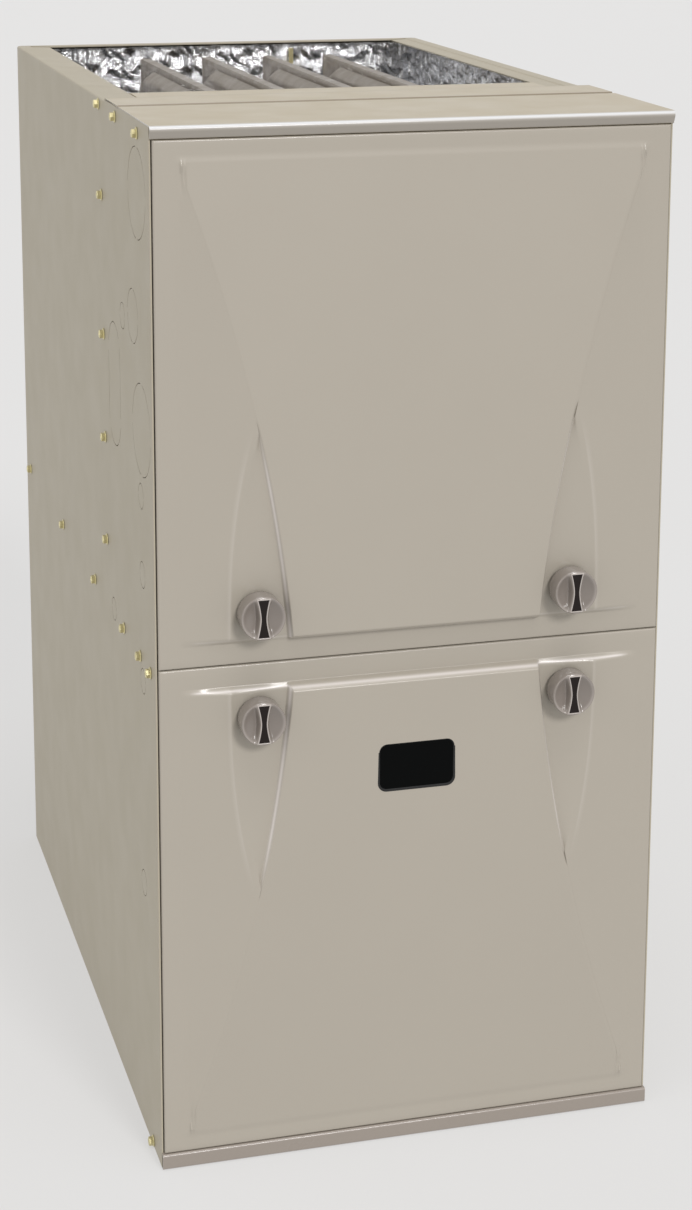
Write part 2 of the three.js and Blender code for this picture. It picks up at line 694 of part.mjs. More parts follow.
function openTray(xs, ys, zs, wall) {
  const inner = [[xs[0] + wall, xs[1] - wall], [ys[0] + wall, ys[1] + 1], [zs[0] + wall, zs[1] - wall]];
  return cut(block(xs, ys, zs), block(...inner));
}
function transitionBox() {
  const reach = cellPlaces[cellCount - 1] + cellBelly + transitionMargin;
  const middle = cellBottom + passPitch / 2;
  return openTray([-reach, reach], [behind(panelSetback - transitionDepth), behind(panelSetback - seat)],
    [middle - transitionBelow, middle + transitionAbove], sheet);
}
function collectorBox() {
  const tray = openTray([-collectorHalfWidth, collectorHalfWidth],
    [behind(collectorFront), behind(panelSetback - seat)], [collectorBottom, collectorTop], 2.5);
  const eye = rod('y', behind(collectorFront - 1), behind(collectorFront + 4), 28,
    inducerAcross, inducerLevel);
  const portPlaces = [[pressurePortX, pressurePortZ], [drainPortX, drainPortZ]];
  const ports = portPlaces.map(([x, z]) => rod('y', behind(collectorFront - portLength),
    behind(collectorFront + 1), portRadius, x, z, 12));
  return join(cut(tray, eye), ...ports);
}

// ---------------------------------------------------------------- burners
const burnerBoxRear = panelSetback - seat;
const burnerBoxHalf = cellPlaces[cellCount - 1] + burnerBoxOverrun;
const lugAcross = cellPitch / 4;
function burnerBox() {
  const levels = [burnerLevel - burnerBoxHalfHeight, burnerLevel + burnerBoxHalfHeight - 4];
  const whole = block([-burnerBoxHalf, burnerBoxHalf], [behind(burnerBoxFront), behind(burnerBoxRear)],
    levels);
  const hollow = block([-burnerBoxHalf + sheet, burnerBoxHalf - sheet],
    [behind(burnerBoxFront + sheet), behind(burnerBoxRear - sheet)],
    [levels[0] + sheet, levels[1] - sheet]);
  const strip = 15;
  const windows = [[levels[0] + 8, burnerLevel - strip], [burnerLevel + strip, levels[1] - 8]].map((z) =>
    block([-burnerBoxHalf + 8, burnerBoxHalf - 8], [behind(burnerBoxFront - 1),
      behind(burnerBoxFront + sheet + 1)], z));
  const spudHoles = cellPlaces.map((x) => rod('y', behind(burnerBoxFront - 1),
    behind(burnerBoxFront + sheet + 1), spudRadius + seat, x, burnerLevel, 12));
  const probeHoles = bothSides.map((side) => rod('y', behind(burnerBoxFront - 1),
    behind(burnerBoxFront + sheet + 1), probeRadius + seat, side * cellPitch, burnerLevel, 10));
  const flamePorts = cellPlaces.map((x) => rod('y', behind(burnerBoxRear - sheet - 1),
    behind(burnerBoxRear + 1), burnerRadius + 3, x, burnerLevel, 14));
  return cut(whole, hollow, ...windows, ...spudHoles, ...probeHoles, ...flamePorts);
}
function burner() {
  const mouth = burnerBoxFront + sheet + 4;
  const rear = burnerBoxRear - sheet - seat;
  const r = burnerRadius;
  const profile = [[r - 1.5, mouth], [r, mouth], [r * 0.62, mouth + 26], [r * 0.92, rear - 16],
    [r * 0.92, rear - 2], [r + 6, rear - 2], [r + 6, rear], [r * 0.8, rear], [r * 0.8, rear - 16],
    [r * 0.5, mouth + 26], [r - 1.5, mouth]];
  return turned('y', profile.map(([a, s]) => [a, behind(s)]), 0, burnerLevel, 12);
}
function gasManifold() {
  const left = -burnerBoxHalf - 4;
  const right = cellPlaces[cellCount - 1] + 22;
  const y = behind(manifoldSetback);
  const pipe = rod('x', left, right, manifoldRadius, y, burnerLevel, 16);
  const spuds = cellPlaces.map((x) => rod('y', y, behind(burnerBoxFront + sheet + 3), spudRadius,
    x, burnerLevel, 12));
  const lugFace = behind(burnerBoxFront - seat);
  const lugs = bothSides.map((side) => block([side * (lugAcross - 6), side * (lugAcross + 6)],
    [lugFace - sheet, lugFace], [burnerLevel - 13, burnerLevel + 13]));
  const stems = bothSides.map((side) => block([side * (lugAcross - 3), side * (lugAcross + 3)],
    [y, lugFace - 0.2], [burnerLevel - 4, burnerLevel + 4]));
  return join(pipe, ...spuds, ...lugs, ...stems);
}
const valveRight = -burnerBoxHalf - 4 - seat;
const valveLeft = valveRight - valveWidth;
const valveFront = manifoldSetback - valveDepth / 2;
const leverAcross = (valveLeft + valveRight) / 2;
const leverLevel = burnerLevel + 8;
function gasValve() {
  const y = [behind(valveFront), behind(valveFront + valveDepth)];
  const body = block([valveLeft, valveRight], y,
    [burnerLevel - valveHeight / 2, burnerLevel + valveHeight / 2 - 6]);
  const inlet = rod('z', burnerLevel - valveHeight / 2 - 16, burnerLevel - valveHeight / 2 + 2, 13,
    leverAcross, behind(manifoldSetback), 6);
  const cover = block([valveLeft + 5, valveRight - 5], [behind(valveFront - 5), behind(valveFront + 1)],
    [burnerLevel - valveHeight / 2 + 4, leverLevel - 13]);
  const solenoid = rod('z', burnerLevel + valveHeight / 2 - 8, burnerLevel + valveHeight / 2 + 4, 14,
    leverAcross, behind(manifoldSetback), 16);
  return join(body, inlet, cover, solenoid);
}
function gasValveLever() {
  const rear = valveFront - seat;
  return join(
    rod('y', behind(rear - 8), behind(rear), 9, leverAcross, leverLevel, 16),
    block([leverAcross - 2.5, leverAcross + 2.5], [behind(rear - 14), behind(rear - 4)],
      [leverLevel - 8, leverLevel + 14]),
  );
}
// The igniter and the flame sensor both reach through the burner box's front strip.
function probe(tipRadius) {
  const front = burnerBoxFront - seat;
  return join(
    block([-7, 7], [behind(front - sheet), behind(front)], [burnerLevel - 9, burnerLevel + 9]),
    rod('y', behind(front - 9), behind(front + 34), probeRadius, 0, burnerLevel, 10),
    rod('y', behind(front + 33), behind(burnerBoxRear - 8), tipRadius, 0, burnerLevel, 8),
  );
}
const rolloutLevel = burnerLevel - 6;
function rolloutSwitch() {
  const right = burnerBoxHalf + seat;
  const y = behind(rolloutSetback);
  const body = join(
    rod('x', right, right + 9, 10, y, rolloutLevel, 18),
    block([right, right + sheet], [y - 16, y + 16], [rolloutLevel - 6, rolloutLevel + 6]));
  return cut(body, rod('x', right + 4, right + 12, resetRadius + seat, y, rolloutLevel, 14));
}
function rolloutReset() {
  const right = burnerBoxHalf + seat;
  return rod('x', right + 4 + seat + resetTravel, right + 12 + resetTravel, resetRadius,
    behind(rolloutSetback), rolloutLevel, 14);
}

// ---------------------------------------------------------------- inducer, vent, condensate
const inducerOutletX = inducerAcross + inducerRadius - ventRadius + 14;
function scroll(start, end, neckTop, neckInner, steps) {
  const points = [];
  for (let i = 0; i <= steps; i += 1) {
    const angle = Math.PI / 2 + (1.5 * Math.PI * i) / steps;
    const radius = THREE.MathUtils.lerp(start, end, i / steps);
    points.push([radius * Math.cos(angle), radius * Math.sin(angle)]);
  }
  points.push([end, neckTop], [neckInner, neckTop], [neckInner, start]);
  return points;
}
function inducerHousing() {
  const innerSide = inducerRadius + 14 - 2 * ventRadius;
  // Drawn towards +x: prism('y') mirrors x, so the outline is mirrored here as well.
  const outline = (wall) => polygon(scroll(inducerRadius - 6 - wall, inducerRadius + 14 - wall,
    inducerNeck + wall, innerSide + wall, 22).map(([a, b]) => [-a, b]));
  const outer = prism('y', outline(0), behind(inducerFront), behind(inducerRear));
  const inner = prism('y', outline(2), behind(inducerFront + 2), behind(inducerRear - 2));
  const eye = rod('y', behind(inducerRear - 3), behind(inducerRear + 1), 26, 0, 0);
  const shaftHole = rod('y', behind(inducerFront - 1), behind(inducerFront + 3), 6, 0, 0, 16);
  const lugs = [45, 135, 225, 315].map((degrees) => {
    const angle = THREE.MathUtils.degToRad(degrees);
    return rod('y', behind(inducerFront - 6), behind(inducerFront + 0.5), 5,
      32 * Math.cos(angle), 32 * Math.sin(angle), 10);
  });
  return join(cut(outer, inner, eye, shaftHole), ...lugs);
}
function inducerWheel() {
  const [front, rear] = [inducerFront + 5, inducerRear - 6];
  const parts = [
    rod('y', behind(front), behind(front + 2), inducerWheelRadius, 0, 0, 24),
    rod('y', behind(front), behind(front + 16), 8, 0, 0, 12),
    rod('y', behind(inducerMotorFront - 10), behind(front + 1), 3, 0, 0, 10),
  ];
  const blades = 12;
  for (let i = 0; i < blades; i += 1) {
    const blade = block([16, inducerWheelRadius - 1], [behind(front + 1), behind(rear)], [-0.8, 0.8]);
    parts.push(blade.rotate([0, (360 * i) / blades, 0]));
  }
  return join(...parts);
}
function inducerMotor() {
  const rear = inducerFront - 6 - seat;
  const r = inducerMotorRadius;
  const bore = 3 + shaftPlay;
  const profile = [[bore, inducerMotorFront], [r - 12, inducerMotorFront], [r - 4, inducerMotorFront + 3],
    [r, inducerMotorFront + 9], [r, rear - 9], [r - 4, rear - 3], [r - 4, rear], [bore, rear],
    [bore, inducerMotorFront]];
  return turned('y', profile.map(([a, s]) => [a, behind(s)]), 0, 0, 24);
}
const inducerMiddle = (inducerFront + inducerRear) / 2;
const ventBase = inducerLevel + inducerNeck + seat;
const ventEndLevel = doorSplit + ventRise;
function ventElbow() {
  const y = behind(inducerMiddle);
  const x = inducerOutletX;
  const endX = insideHalf - seat;
  const points = [[x, y, ventBase], [x, y, ventBase + ventStraight],
    [x + ventLean, y - ventLean, ventEndLevel - ventStraight],
    [x + ventBend, y - ventForward + 26, ventEndLevel + 6],
    [endX - ventStraight - 2, y - ventForward, ventEndLevel + 8],
    [endX, y - ventForward, ventEndLevel + 8]];
  return tube(points, elbowRadius, 10, 12, elbowRadius - elbowWall);
}
function pressureSwitch() {
  const rear = panelSetback - seat;
  return join(
    rod('y', behind(rear - 24), behind(rear - 2), pressureRadius, pressureX, pressureZ, 24),
    block([pressureX - 30, pressureX + 30], [behind(rear - 3), behind(rear)],
      [pressureZ - 14, pressureZ + 14]),
    rod('y', behind(rear - pressureSpigotFront), behind(rear - pressureSpigotRear), portRadius,
      pressureX, pressureZ, 12),
    block([pressureX - 9, pressureX + 9], [behind(rear - 30), behind(rear - 20)],
      [pressureZ + 12, pressureZ + 22]),
  );
}
function pressureTube() {
  const startY = behind(collectorFront - portLength) - seat;
  const endY = behind(panelSetback - seat - pressureSpigotFront) - seat;
  const points = [[pressurePortX, startY, pressurePortZ], [pressurePortX, startY - 14, pressurePortZ],
    [pressurePortX - 14, startY - 30, pressurePortZ + 12],
    [(pressurePortX + pressureX) / 2 - 8, startY - 34, pressureZ - 34],
    [pressureX, endY - 30, pressureZ - 8], [pressureX, endY - 14, pressureZ], [pressureX, endY, pressureZ]];
  return tube(points, hoseRadius, 16, 8);
}
const trapLeft = -insideHalf + trapFromWall;
const trapRight = trapLeft + trapWidth;
const trapPortX = trapRight - trapPortInset;
const trapPortZ = trapTop - trapPortInset + 2;
function condensateTrap() {
  return join(
    block([trapLeft, trapRight], [behind(trapFront), behind(trapBack)], [shelfLevel + seat, trapTop]),
    rod('z', trapTop - 1, trapTop + portLength, portRadius,
      trapLeft + trapPortInset + 2, behind(trapFront + 20), 12),
    rod('y', behind(trapBack - 1), behind(trapBack + portLength), portRadius, trapPortX, trapPortZ, 12),
  );
}
function drainTube() {
  const startY = behind(collectorFront - portLength) - seat;
  const endY = behind(trapBack + portLength) + seat;
  const [endX, endZ] = [trapPortX, trapPortZ];
  const points = [[drainPortX, startY, drainPortZ], [drainPortX, startY - 12, drainPortZ],
    [drainPortX - 14, startY - 32, drainPortZ - 10], [drainPortX - 26, startY - 30, drainPortZ + 2],
    [endX + 12, endY + 16, endZ - 10], [endX, endY + 14, endZ], [endX, endY, endZ]];
  return tube(points, hoseRadius, 16, 8);
}

// ---------------------------------------------------------------- blower
const neckRearY = blowerY + scrollEnd;
const neckFrontY = blowerY + 30;
const blowerNeckTop = shelfUnder - seat - blowerLevel;
function blowerHousing() {
  // The scroll opens upwards at its rear side; drawn in (y, z) about the wheel's axis.
  const outline = (wall) => polygon(scroll(scrollStart - wall, scrollEnd - wall,
    blowerNeckTop + (wall > 0 ? 2 : 0), 30 + wall, 20));
  const outer = prism('x', outline(0), -housingHalfWidth, housingHalfWidth);
  const inner = prism('x', outline(housingWall), -housingHalfWidth + housingWall,
    housingHalfWidth - housingWall);
  const inlets = rod('x', -housingHalfWidth - 1, housingHalfWidth + 1, inletRadius, 0, 0, 28);
  const bells = bothSides.map((side) => {
    const [inside, outside] = [side * (housingHalfWidth - 10), side * (housingHalfWidth - 0.4)];
    return ring('x', Math.min(inside, outside), Math.max(inside, outside), inletRadius,
      inletRadius + 1.5, 0, 0, 28);
  });
  return join(cut(outer, inner, inlets), ...bells);
}
function blowerWheel() {
  const inner = wheelRadius - wheelDepth;
  const parts = [
    ring('x', -wheelHalfWidth, -wheelHalfWidth + 5, inner, wheelRadius, 0, 0, 24),
    ring('x', wheelHalfWidth - 5, wheelHalfWidth, inner, wheelRadius, 0, 0, 24),
    rod('x', 2, 4, wheelRadius - 1, 0, 0, 24),
    rod('x', 3, 26, 16, 0, 0, 16),
    rod('x', -housingHalfWidth - 8, 3, blowerShaft, 0, 0, 12),
  ];
  for (let i = 0; i < wheelBlades; i += 1) {
    const blade = block([-wheelHalfWidth + 2, wheelHalfWidth - 2], [inner + 1, wheelRadius - 1], [-0.6, 0.6]);
    parts.push(blade.rotate([(360 * i) / wheelBlades, 0, 0]));
  }
  return join(...parts);
}
const motorLeft = -housingHalfWidth - motorOverhang;
const motorRight = -6;
function blowerMotor() {
  const r = blowerMotorRadius;
  const bore = blowerShaft + shaftPlay;
  const profile = [[bore, motorLeft], [r - 14, motorLeft], [r, motorLeft + 6], [r, motorRight - 10],
    [r - 8, motorRight], [bore, motorRight], [bore, motorLeft]];
  return turned('x', profile, 0, 0, 28);
}
function motorBracket() {
  const inner = blowerMotorRadius + seat;
  const outside = -housingHalfWidth - seat;
  const band = ring('x', outside - armThickness, outside - armThickness + bandWidth, inner,
    inner + bandThickness, 0, 0, 28);
  const parts = [band];
  for (const degrees of [90, 210, 330]) {
    const arm = block([outside - armThickness, outside], [inner + 1, inletRadius + armReach],
      [-armHalfWidth, armHalfWidth]);
    parts.push(arm.rotate([degrees, 0, 0]));
  }
  return join(...parts);
}

// ---------------------------------------------------------------- controls
const controlBack = controlSetback + controlDepth;
function controlBox() {
  const top = shelfUnder - seat;
  return join(
    block([controlLeft, controlRight], [behind(controlBack - sheet), behind(controlBack)],
      [controlBottom, top]),
    block([controlLeft, controlRight], [behind(controlBack - sheet), behind(controlBack + controlTopDepth)],
      [top - sheet, top]),
    block([controlLeft, controlRight], [behind(controlSetback + 4), behind(controlBack)],
      [controlBottom, controlBottom + sheet]),
  );
}
function controlBoard() {
  const boardBack = controlBack - sheet - seat;
  const front = boardBack - boardStandoff - boardThickness;
  const low = controlBottom + sheet + seat + boardInset;
  const high = low + boardHeight;
  const left = controlLeft + boardInset;
  const right = left + boardWidth;
  const onBoard = (xs, depth, zs) =>
    block(xs, [behind(front - depth), behind(front + boardThickness / 2)], zs);
  const parts = [block([left, right], [behind(front), behind(front + boardThickness)], [low, high])];
  for (const x of [left + boardInset, right - boardInset]) {
    for (const z of [low + boardInset, high - boardInset]) {
      parts.push(rod('y', behind(front + boardThickness / 2), behind(boardBack), 3, x, z, 8));
    }
  }
  for (let i = 0; i < relayCount; i += 1) {
    const x = left + 2 * boardInset + i * relayPitch;
    const top = high - boardInset;
    parts.push(onBoard([x, x + relayWidth], relayDepth, [top - relayHeight, top]));
  }
  const terminals = onBoard([left + 2 * boardInset, right - 4 * boardInset], terminalDepth,
    [low + boardInset / 2, low + 1.7 * boardInset]);
  const plug = onBoard([right - 5 * boardInset, right - boardInset], terminalDepth,
    [high - 3 * boardInset, high - 1.5 * boardInset]);
  const display = onBoard([right - 3.5 * boardInset, right - boardInset], terminalDepth / 2,
    [low + 3.5 * boardInset, low + 5.5 * boardInset]);
  return join(...parts, terminals, plug, display);
}
function transformer() {
  const left = controlRight - transformerWidth - boardInset;
  const right = left + transformerWidth;
  const rear = behind(controlBack - sheet - seat);
  const z = controlBottom + transformerRise;
  const reach = transformerWidth / 2;
  return join(
    block([left, right], [rear - 2, rear], [z - reach, z + reach]),
    block([left + 8, right - 8], [rear - transformerDepth, rear - 1], [z - reach + 3, z + reach - 3]),
    block([left + 2, right - 2], [rear - transformerDepth + 7, rear - 8], [z - 14, z + 14]),
  );
}
const plungerAcross = doorHalf - borderWidth / 2 - 2.4;
function doorSwitch() {
  const front = behind(jambSetback + sheet + seat);
  const body = block([plungerAcross - 9, plungerAcross + 5], [front, front + switchDepth],
    [plungerLevel - switchHalfHeight, plungerLevel + switchHalfHeight]);
  return cut(body, rod('y', front - 1, front + 14, plungerRadius + shaftPlay,
    plungerAcross, plungerLevel, 16));
}
function doorSwitchPlunger() {
  return rod('y', behind(doorSetback + doorSheet) + seat, behind(jambSetback + sheet + seat) + 12,
    plungerRadius, plungerAcross, plungerLevel, 16);
}
function linerSide(side) {
  const outer = side * insideHalf;
  return block([outer, outer - side * linerThickness],
    [behind(panelRear + panelFlange + 1), backY - sheet - seat - 1],
    [shelfLevel + shelfFlange + 1, casingTop - sheet - seat]);
}
function linerBack() {
  const reach = insideHalf - linerThickness - seat;
  const rear = backY - sheet - seat;
  return block([-reach, reach], [rear - linerThickness, rear],
    [shelfLevel + shelfFlange + 1, casingTop - sheet - seat]);
}

// ---------------------------------------------------------------- assembly
const casing = assembly();
place(casing, 'casing_wrapper', casingWrapper(), greigePaint);
place(casing, 'top_cap', topCap(), tanPaint);
place(casing, 'outlet_front_flange', outletFrontFlange(), tanPaint);
place(casing, 'base_rail', baseRail(), greigePaint);
place(casing, 'base_panel', basePanel(), galvanised);
place(casing, 'blower_shelf', blowerShelf(), galvanised);
place(casing, 'cell_panel', cellPanel(), galvanised);
place(casing, 'liner_left', linerSide(-1), foil);
place(casing, 'liner_right', linerSide(1), foil);
place(casing, 'liner_back', linerBack(), foil);

const doors = assembly();
place(doors, 'upper_door', cut(doorPan(upperHeight, 1), ...knobHoles(1)), greigePaint);
place(doors, 'lower_door', lowerDoor(), greigePaint);
place(doors, 'sight_gasket', sightGasket(), blackRubber, [0, 0, sightLevel]);
place(doors, 'sight_glass', sightGlass(), darkGlass, [0, 0, sightLevel]);

const latches = assembly();
for (const [side, sideName] of [[-1, 'left'], [1, 'right']]) {
  place(latches, `keeper_plate_${sideName}`, keeperPlate(), galvanised, [side * knobAcross, 0, 0]);
  for (const [up, levelName] of [[1, 'upper'], [-1, 'lower']]) {
    const at = [side * knobAcross, 0, doorSplit + up * knobFromSplit];
    place(latches, `latch_knob_${levelName}_${sideName}`, latchKnob(), knobPlastic, at);
    place(latches, `latch_pawl_${levelName}_${sideName}`, latchPawl(), galvanised, at);
  }
}

const exchanger = assembly();
cellPlaces.forEach((x, i) => place(exchanger, `heat_cell_${i + 1}`, heatCell(), aluminisedSteel, [x, 0, 0]));
place(exchanger, 'condensing_coil', condensingCoil(), castAluminium);
place(exchanger, 'transition_box', transitionBox(), aluminisedSteel);
place(exchanger, 'collector_box', collectorBox(), blackPlastic);

const burners = assembly();
cellPlaces.forEach((x, i) => place(burners, `burner_${i + 1}`, burner(), aluminisedSteel, [x, 0, 0]));
place(burners, 'burner_box', burnerBox(), aluminisedSteel);
place(burners, 'gas_manifold', gasManifold(), blackPaint);
place(burners, 'gas_valve', gasValve(), castAluminium);
place(burners, 'gas_valve_lever', gasValveLever(), redPlastic);
place(burners, 'igniter', probe(igniterRadius), ceramic, [cellPitch, 0, 0]);
place(burners, 'flame_sensor', probe(sensorRadius), ceramic, [-cellPitch, 0, 0]);
place(burners, 'rollout_switch', rolloutSwitch(), blackPlastic);
place(burners, 'rollout_reset', rolloutReset(), redPlastic);

const inducer = assembly();
const inducerAxis = [inducerAcross, 0, inducerLevel];
place(inducer, 'inducer_housing', inducerHousing(), blackPlastic, inducerAxis);
place(inducer, 'inducer_wheel', inducerWheel(), aluminisedSteel, inducerAxis);
place(inducer, 'inducer_motor', inducerMotor(), blackPaint, inducerAxis);
place(inducer, 'vent_elbow', ventElbow(), blackRubber);
place(inducer, 'pressure_switch', pressureSwitch(), whitePlastic);
place(inducer, 'pressure_tube', pressureTube(), clearTube);
place(inducer, 'condensate_trap', condensateTrap(), whitePlastic);
place(inducer, 'drain_tube', drainTube(), blackRubber);

const blower = assembly();
const blowerAxis = [0, blowerY, blowerLevel];
place(blower, 'blower_housing', blowerHousing(), galvanised, blowerAxis);
place(blower, 'blower_wheel', blowerWheel(), galvanised, blowerAxis);
place(blower, 'blower_motor', blowerMotor(), blackPaint, blowerAxis);
place(blower, 'motor_bracket', motorBracket(), galvanised, blowerAxis);

const controls = assembly();
place(controls, 'control_box', controlBox(), galvanised);
place(controls, 'control_board', controlBoard(), boardGreen);
place(controls, 'transformer', transformer(), blackPaint);
place(controls, 'door_switch', doorSwitch(), blackPlastic);
place(controls, 'door_switch_plunger', doorSwitchPlunger(), whitePlastic);

export default furnace;
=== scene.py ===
# %% [markdown]
# # A forced air gas furnace, dressed in Blender
#
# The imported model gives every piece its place: an upflow furnace in a painted steel cabinet
# with two lift-off doors. This lesson lays the visible pieces over it: pressed doors, moulded
# knobs, folded sheet steel, crinkled foil and the machinery behind the doors. Every shape is
# worked out with numpy from a few sizes, and every finish is a small node tree.

# %% Load the frame and keep its box
import math

import bmesh
import bpy
import numpy as np
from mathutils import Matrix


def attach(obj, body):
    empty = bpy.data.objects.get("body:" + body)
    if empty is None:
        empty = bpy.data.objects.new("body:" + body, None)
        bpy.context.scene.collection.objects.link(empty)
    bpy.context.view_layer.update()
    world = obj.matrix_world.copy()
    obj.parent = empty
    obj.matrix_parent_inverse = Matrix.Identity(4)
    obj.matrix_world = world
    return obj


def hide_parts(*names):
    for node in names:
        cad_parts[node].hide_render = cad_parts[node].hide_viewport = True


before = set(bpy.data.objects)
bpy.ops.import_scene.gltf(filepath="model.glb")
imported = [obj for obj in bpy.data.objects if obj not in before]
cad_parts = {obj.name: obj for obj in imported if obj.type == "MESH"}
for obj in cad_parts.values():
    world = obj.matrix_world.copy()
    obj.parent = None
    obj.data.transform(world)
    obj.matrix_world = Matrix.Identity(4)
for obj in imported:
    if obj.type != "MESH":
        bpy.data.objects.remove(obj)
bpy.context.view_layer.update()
print("nodes in the frame:", len(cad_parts))

# %% [markdown]
# ## Places in millimetres
#
# A cabinet is measured from its front edge, so a place is written here as across (x), depth
# behind the nose of the cap (s) and height (z), all in millimetres. One function turns such
# places into the frame's metres. The sizes below are those of the source of the solids.

# %% Sizes shared by several pieces
NOSE_Y = -353.35
HALF = 219.0
DEPTH = 728.0
HEIGHT = 889.0
SHEET = 1.2
CASING_TOP = 886.6
NOSE_FOOT = 878.0
CAP_REAR = 199.5
CAP_JOGGLE = 141.0
OUTLET_FRONT = 258.0
OUTLET_FLANGE = 32.0
REAR_FLANGE = 16.0
LIP = 8.0
RAIL = 13.5
SHELF = 427.0
SPLIT = 444.3
SPLIT_GAP = 0.8
DOOR_FACE = 2.0
DOOR_BACK = 22.0
DOOR_HALF = 216.8
KNOB_ACROSS = 134.6
KNOB_UP = 45.0


def metres(points):
    """Across, depth and height in millimetres become the frame's x, y and z in metres."""
    points = np.asarray(points, float).reshape(-1, 3)
    return (points + [0.0, NOSE_Y, 0.0]) * 0.001


print("nose of the cap at y =", NOSE_Y / 1000, "m")

# %% [markdown]
# ## The camera
#
# The photograph looks down a little on the front left corner. Its place was worked out from
# the cabinet's corners in the picture. The lens is shifted, as a product photographer shifts
# it, to keep the upright edges nearly parallel; only part of that shift is used, so that the
# cabinet stays in view from every other side too.

# %% Set up the camera
camera_data = bpy.data.cameras.new("studio_camera")
camera_data.sensor_width = 36.0
camera_data.lens = 73.17
camera_data.shift_y = -0.22
camera_data.clip_start = 0.05
camera_data.clip_end = 120.0
camera = bpy.data.objects.new("studio_camera", camera_data)
camera.location = (-0.5793, -2.21865, 1.1237)
camera.rotation_euler = [math.radians(a) for a in (78.012, -0.197, -15.494)]
bpy.context.scene.collection.objects.link(camera)
bpy.context.scene.camera = camera
print("camera", tuple(round(v, 3) for v in camera.location))

# %% [markdown]
# ## From arrays to meshes
#
# A grid of corners and a list of faces is all that a mesh needs. `grid_faces` joins the
# corners of a grid into four-sided faces, `write_mesh` hands whole arrays to Blender at once,
# and `piece` makes the finished object: seams merged, faces turned outwards, edges that are
# sharper than a given angle kept crisp, a finish, and the body that it rides on.

# %% Helpers that make a piece
def grid_faces(rows, columns, wrap_rows=False, wrap_columns=False):
    """Four-sided faces between neighbouring rows and columns of a grid, round again if wrapped."""
    r = np.arange(rows if wrap_rows else rows - 1)[:, None]
    c = np.arange(columns if wrap_columns else columns - 1)[None, :]
    r2, c2 = (r + 1) % rows, (c + 1) % columns
    corners = [r * columns + c, r * columns + c2, r2 * columns + c2, r2 * columns + c]
    return np.stack(corners, -1).reshape(-1, 4)


def joined(parts):
    """Several (points, faces) parts as one, the corner numbers moved on by what came before."""
    points, faces, start = [], [], 0
    for part_points, part_faces in parts:
        part_points = np.asarray(part_points, float).reshape(-1, 3)
        points.append(part_points)
        faces += [np.asarray(f) + start for f in part_faces]
        start += len(part_points)
    return np.concatenate(points), faces


def write_mesh(name, points, faces):
    """A mesh from an array of corners and arrays of faces, each array with its own side count."""
    mesh = bpy.data.meshes.new(name)
    corners = np.concatenate([f.ravel() for f in faces]).astype(np.int32)
    counts = np.concatenate([np.full(len(f), f.shape[1]) for f in faces])
    mesh.vertices.add(len(points))
    mesh.vertices.foreach_set("co", np.asarray(points, np.float32).ravel())
    mesh.loops.add(len(corners))
    mesh.loops.foreach_set("vertex_index", corners)
    mesh.polygons.add(len(counts))
    mesh.polygons.foreach_set("loop_start", (np.cumsum(counts) - counts).astype(np.int32))
    mesh.update(calc_edges=True)
    return mesh


def close_and_face_out(mesh, outwards=True):
    """Corners in one place become one corner, and if asked the faces are turned outwards."""
    work = bmesh.new()
    work.from_mesh(mesh)
    bmesh.ops.remove_doubles(work, verts=work.verts, dist=1e-6)
    bmesh.ops.dissolve_degenerate(work, edges=work.edges, dist=1e-7)
    if outwards:
        bmesh.ops.recalc_face_normals(work, faces=work.faces)
    work.to_mesh(mesh)
    work.free()


def dress(obj, finish, body, stands_for, crease):
    """Finish, crisp edges, the body that it rides on and the nodes that it stands for."""
    bpy.context.scene.collection.objects.link(obj)
    mesh = obj.data
    mesh.materials.clear()
    mesh.materials.append(finish)
    mesh.polygons.foreach_set("use_smooth", np.ones(len(mesh.polygons), bool))
    if crease:
        mesh.set_sharp_from_angle(angle=math.radians(crease))
    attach(obj, body)
    if stands_for:
        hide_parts(*stands_for)
    return obj


def piece(name, parts, finish, body="cabinet", stands_for=(), crease=32, outwards=True):
    """One object from a list of parts in millimetres."""
    points, faces = joined(parts)
    mesh = write_mesh(name, metres(points), faces)
    close_and_face_out(mesh, outwards)
    return dress(bpy.data.objects.new(name, mesh), finish, body, stands_for, crease)


def soften(obj, width, segments=2, angle=32):
    """Rounds every edge sharper than the angle, and keeps the flat faces shading flat."""
    obj.data.polygons.foreach_set("use_smooth", np.ones(len(obj.data.polygons), bool))
    sharp = obj.data.attributes.get("sharp_edge")
    if sharp:
        obj.data.attributes.remove(sharp)
    bevel = obj.modifiers.new("rounded edges", "BEVEL")
    bevel.width = width * 0.001
    bevel.segments = segments
    bevel.limit_method = "ANGLE"
    bevel.angle_limit = math.radians(angle)
    bevel.harden_normals = True
    bevel.use_clamp_overlap = True
    return obj


def steady(obj):
    """Large flat faces keep their own shading, and only the narrow bends between them turn."""
    weigh = obj.modifiers.new("steady shading", "WEIGHTED_NORMAL")
    weigh.mode = "FACE_AREA"
    weigh.weight = 100
    weigh.keep_sharp = True
    return obj


def carve(obj, cutter_parts):
    """Takes closed shapes out of a piece, as a punch does, and keeps the result as its mesh."""
    points, faces = joined(cutter_parts)
    mesh = write_mesh("cutter", metres(points), faces)
    close_and_face_out(mesh)
    cutter = bpy.data.objects.new("cutter", mesh)
    bpy.context.scene.collection.objects.link(cutter)
    hole = obj.modifiers.new("punched", "BOOLEAN")
    hole.operation = "DIFFERENCE"
    hole.solver = "EXACT"
    hole.object = cutter
    bpy.context.view_layer.update()
    evaluated = obj.evaluated_get(bpy.context.evaluated_depsgraph_get())
    result = bpy.data.meshes.new_from_object(evaluated)
    obj.modifiers.clear()
    old, obj.data = obj.data, result
    bpy.data.meshes.remove(old)
    bpy.data.objects.remove(cutter)
    return obj


print("helpers ready")

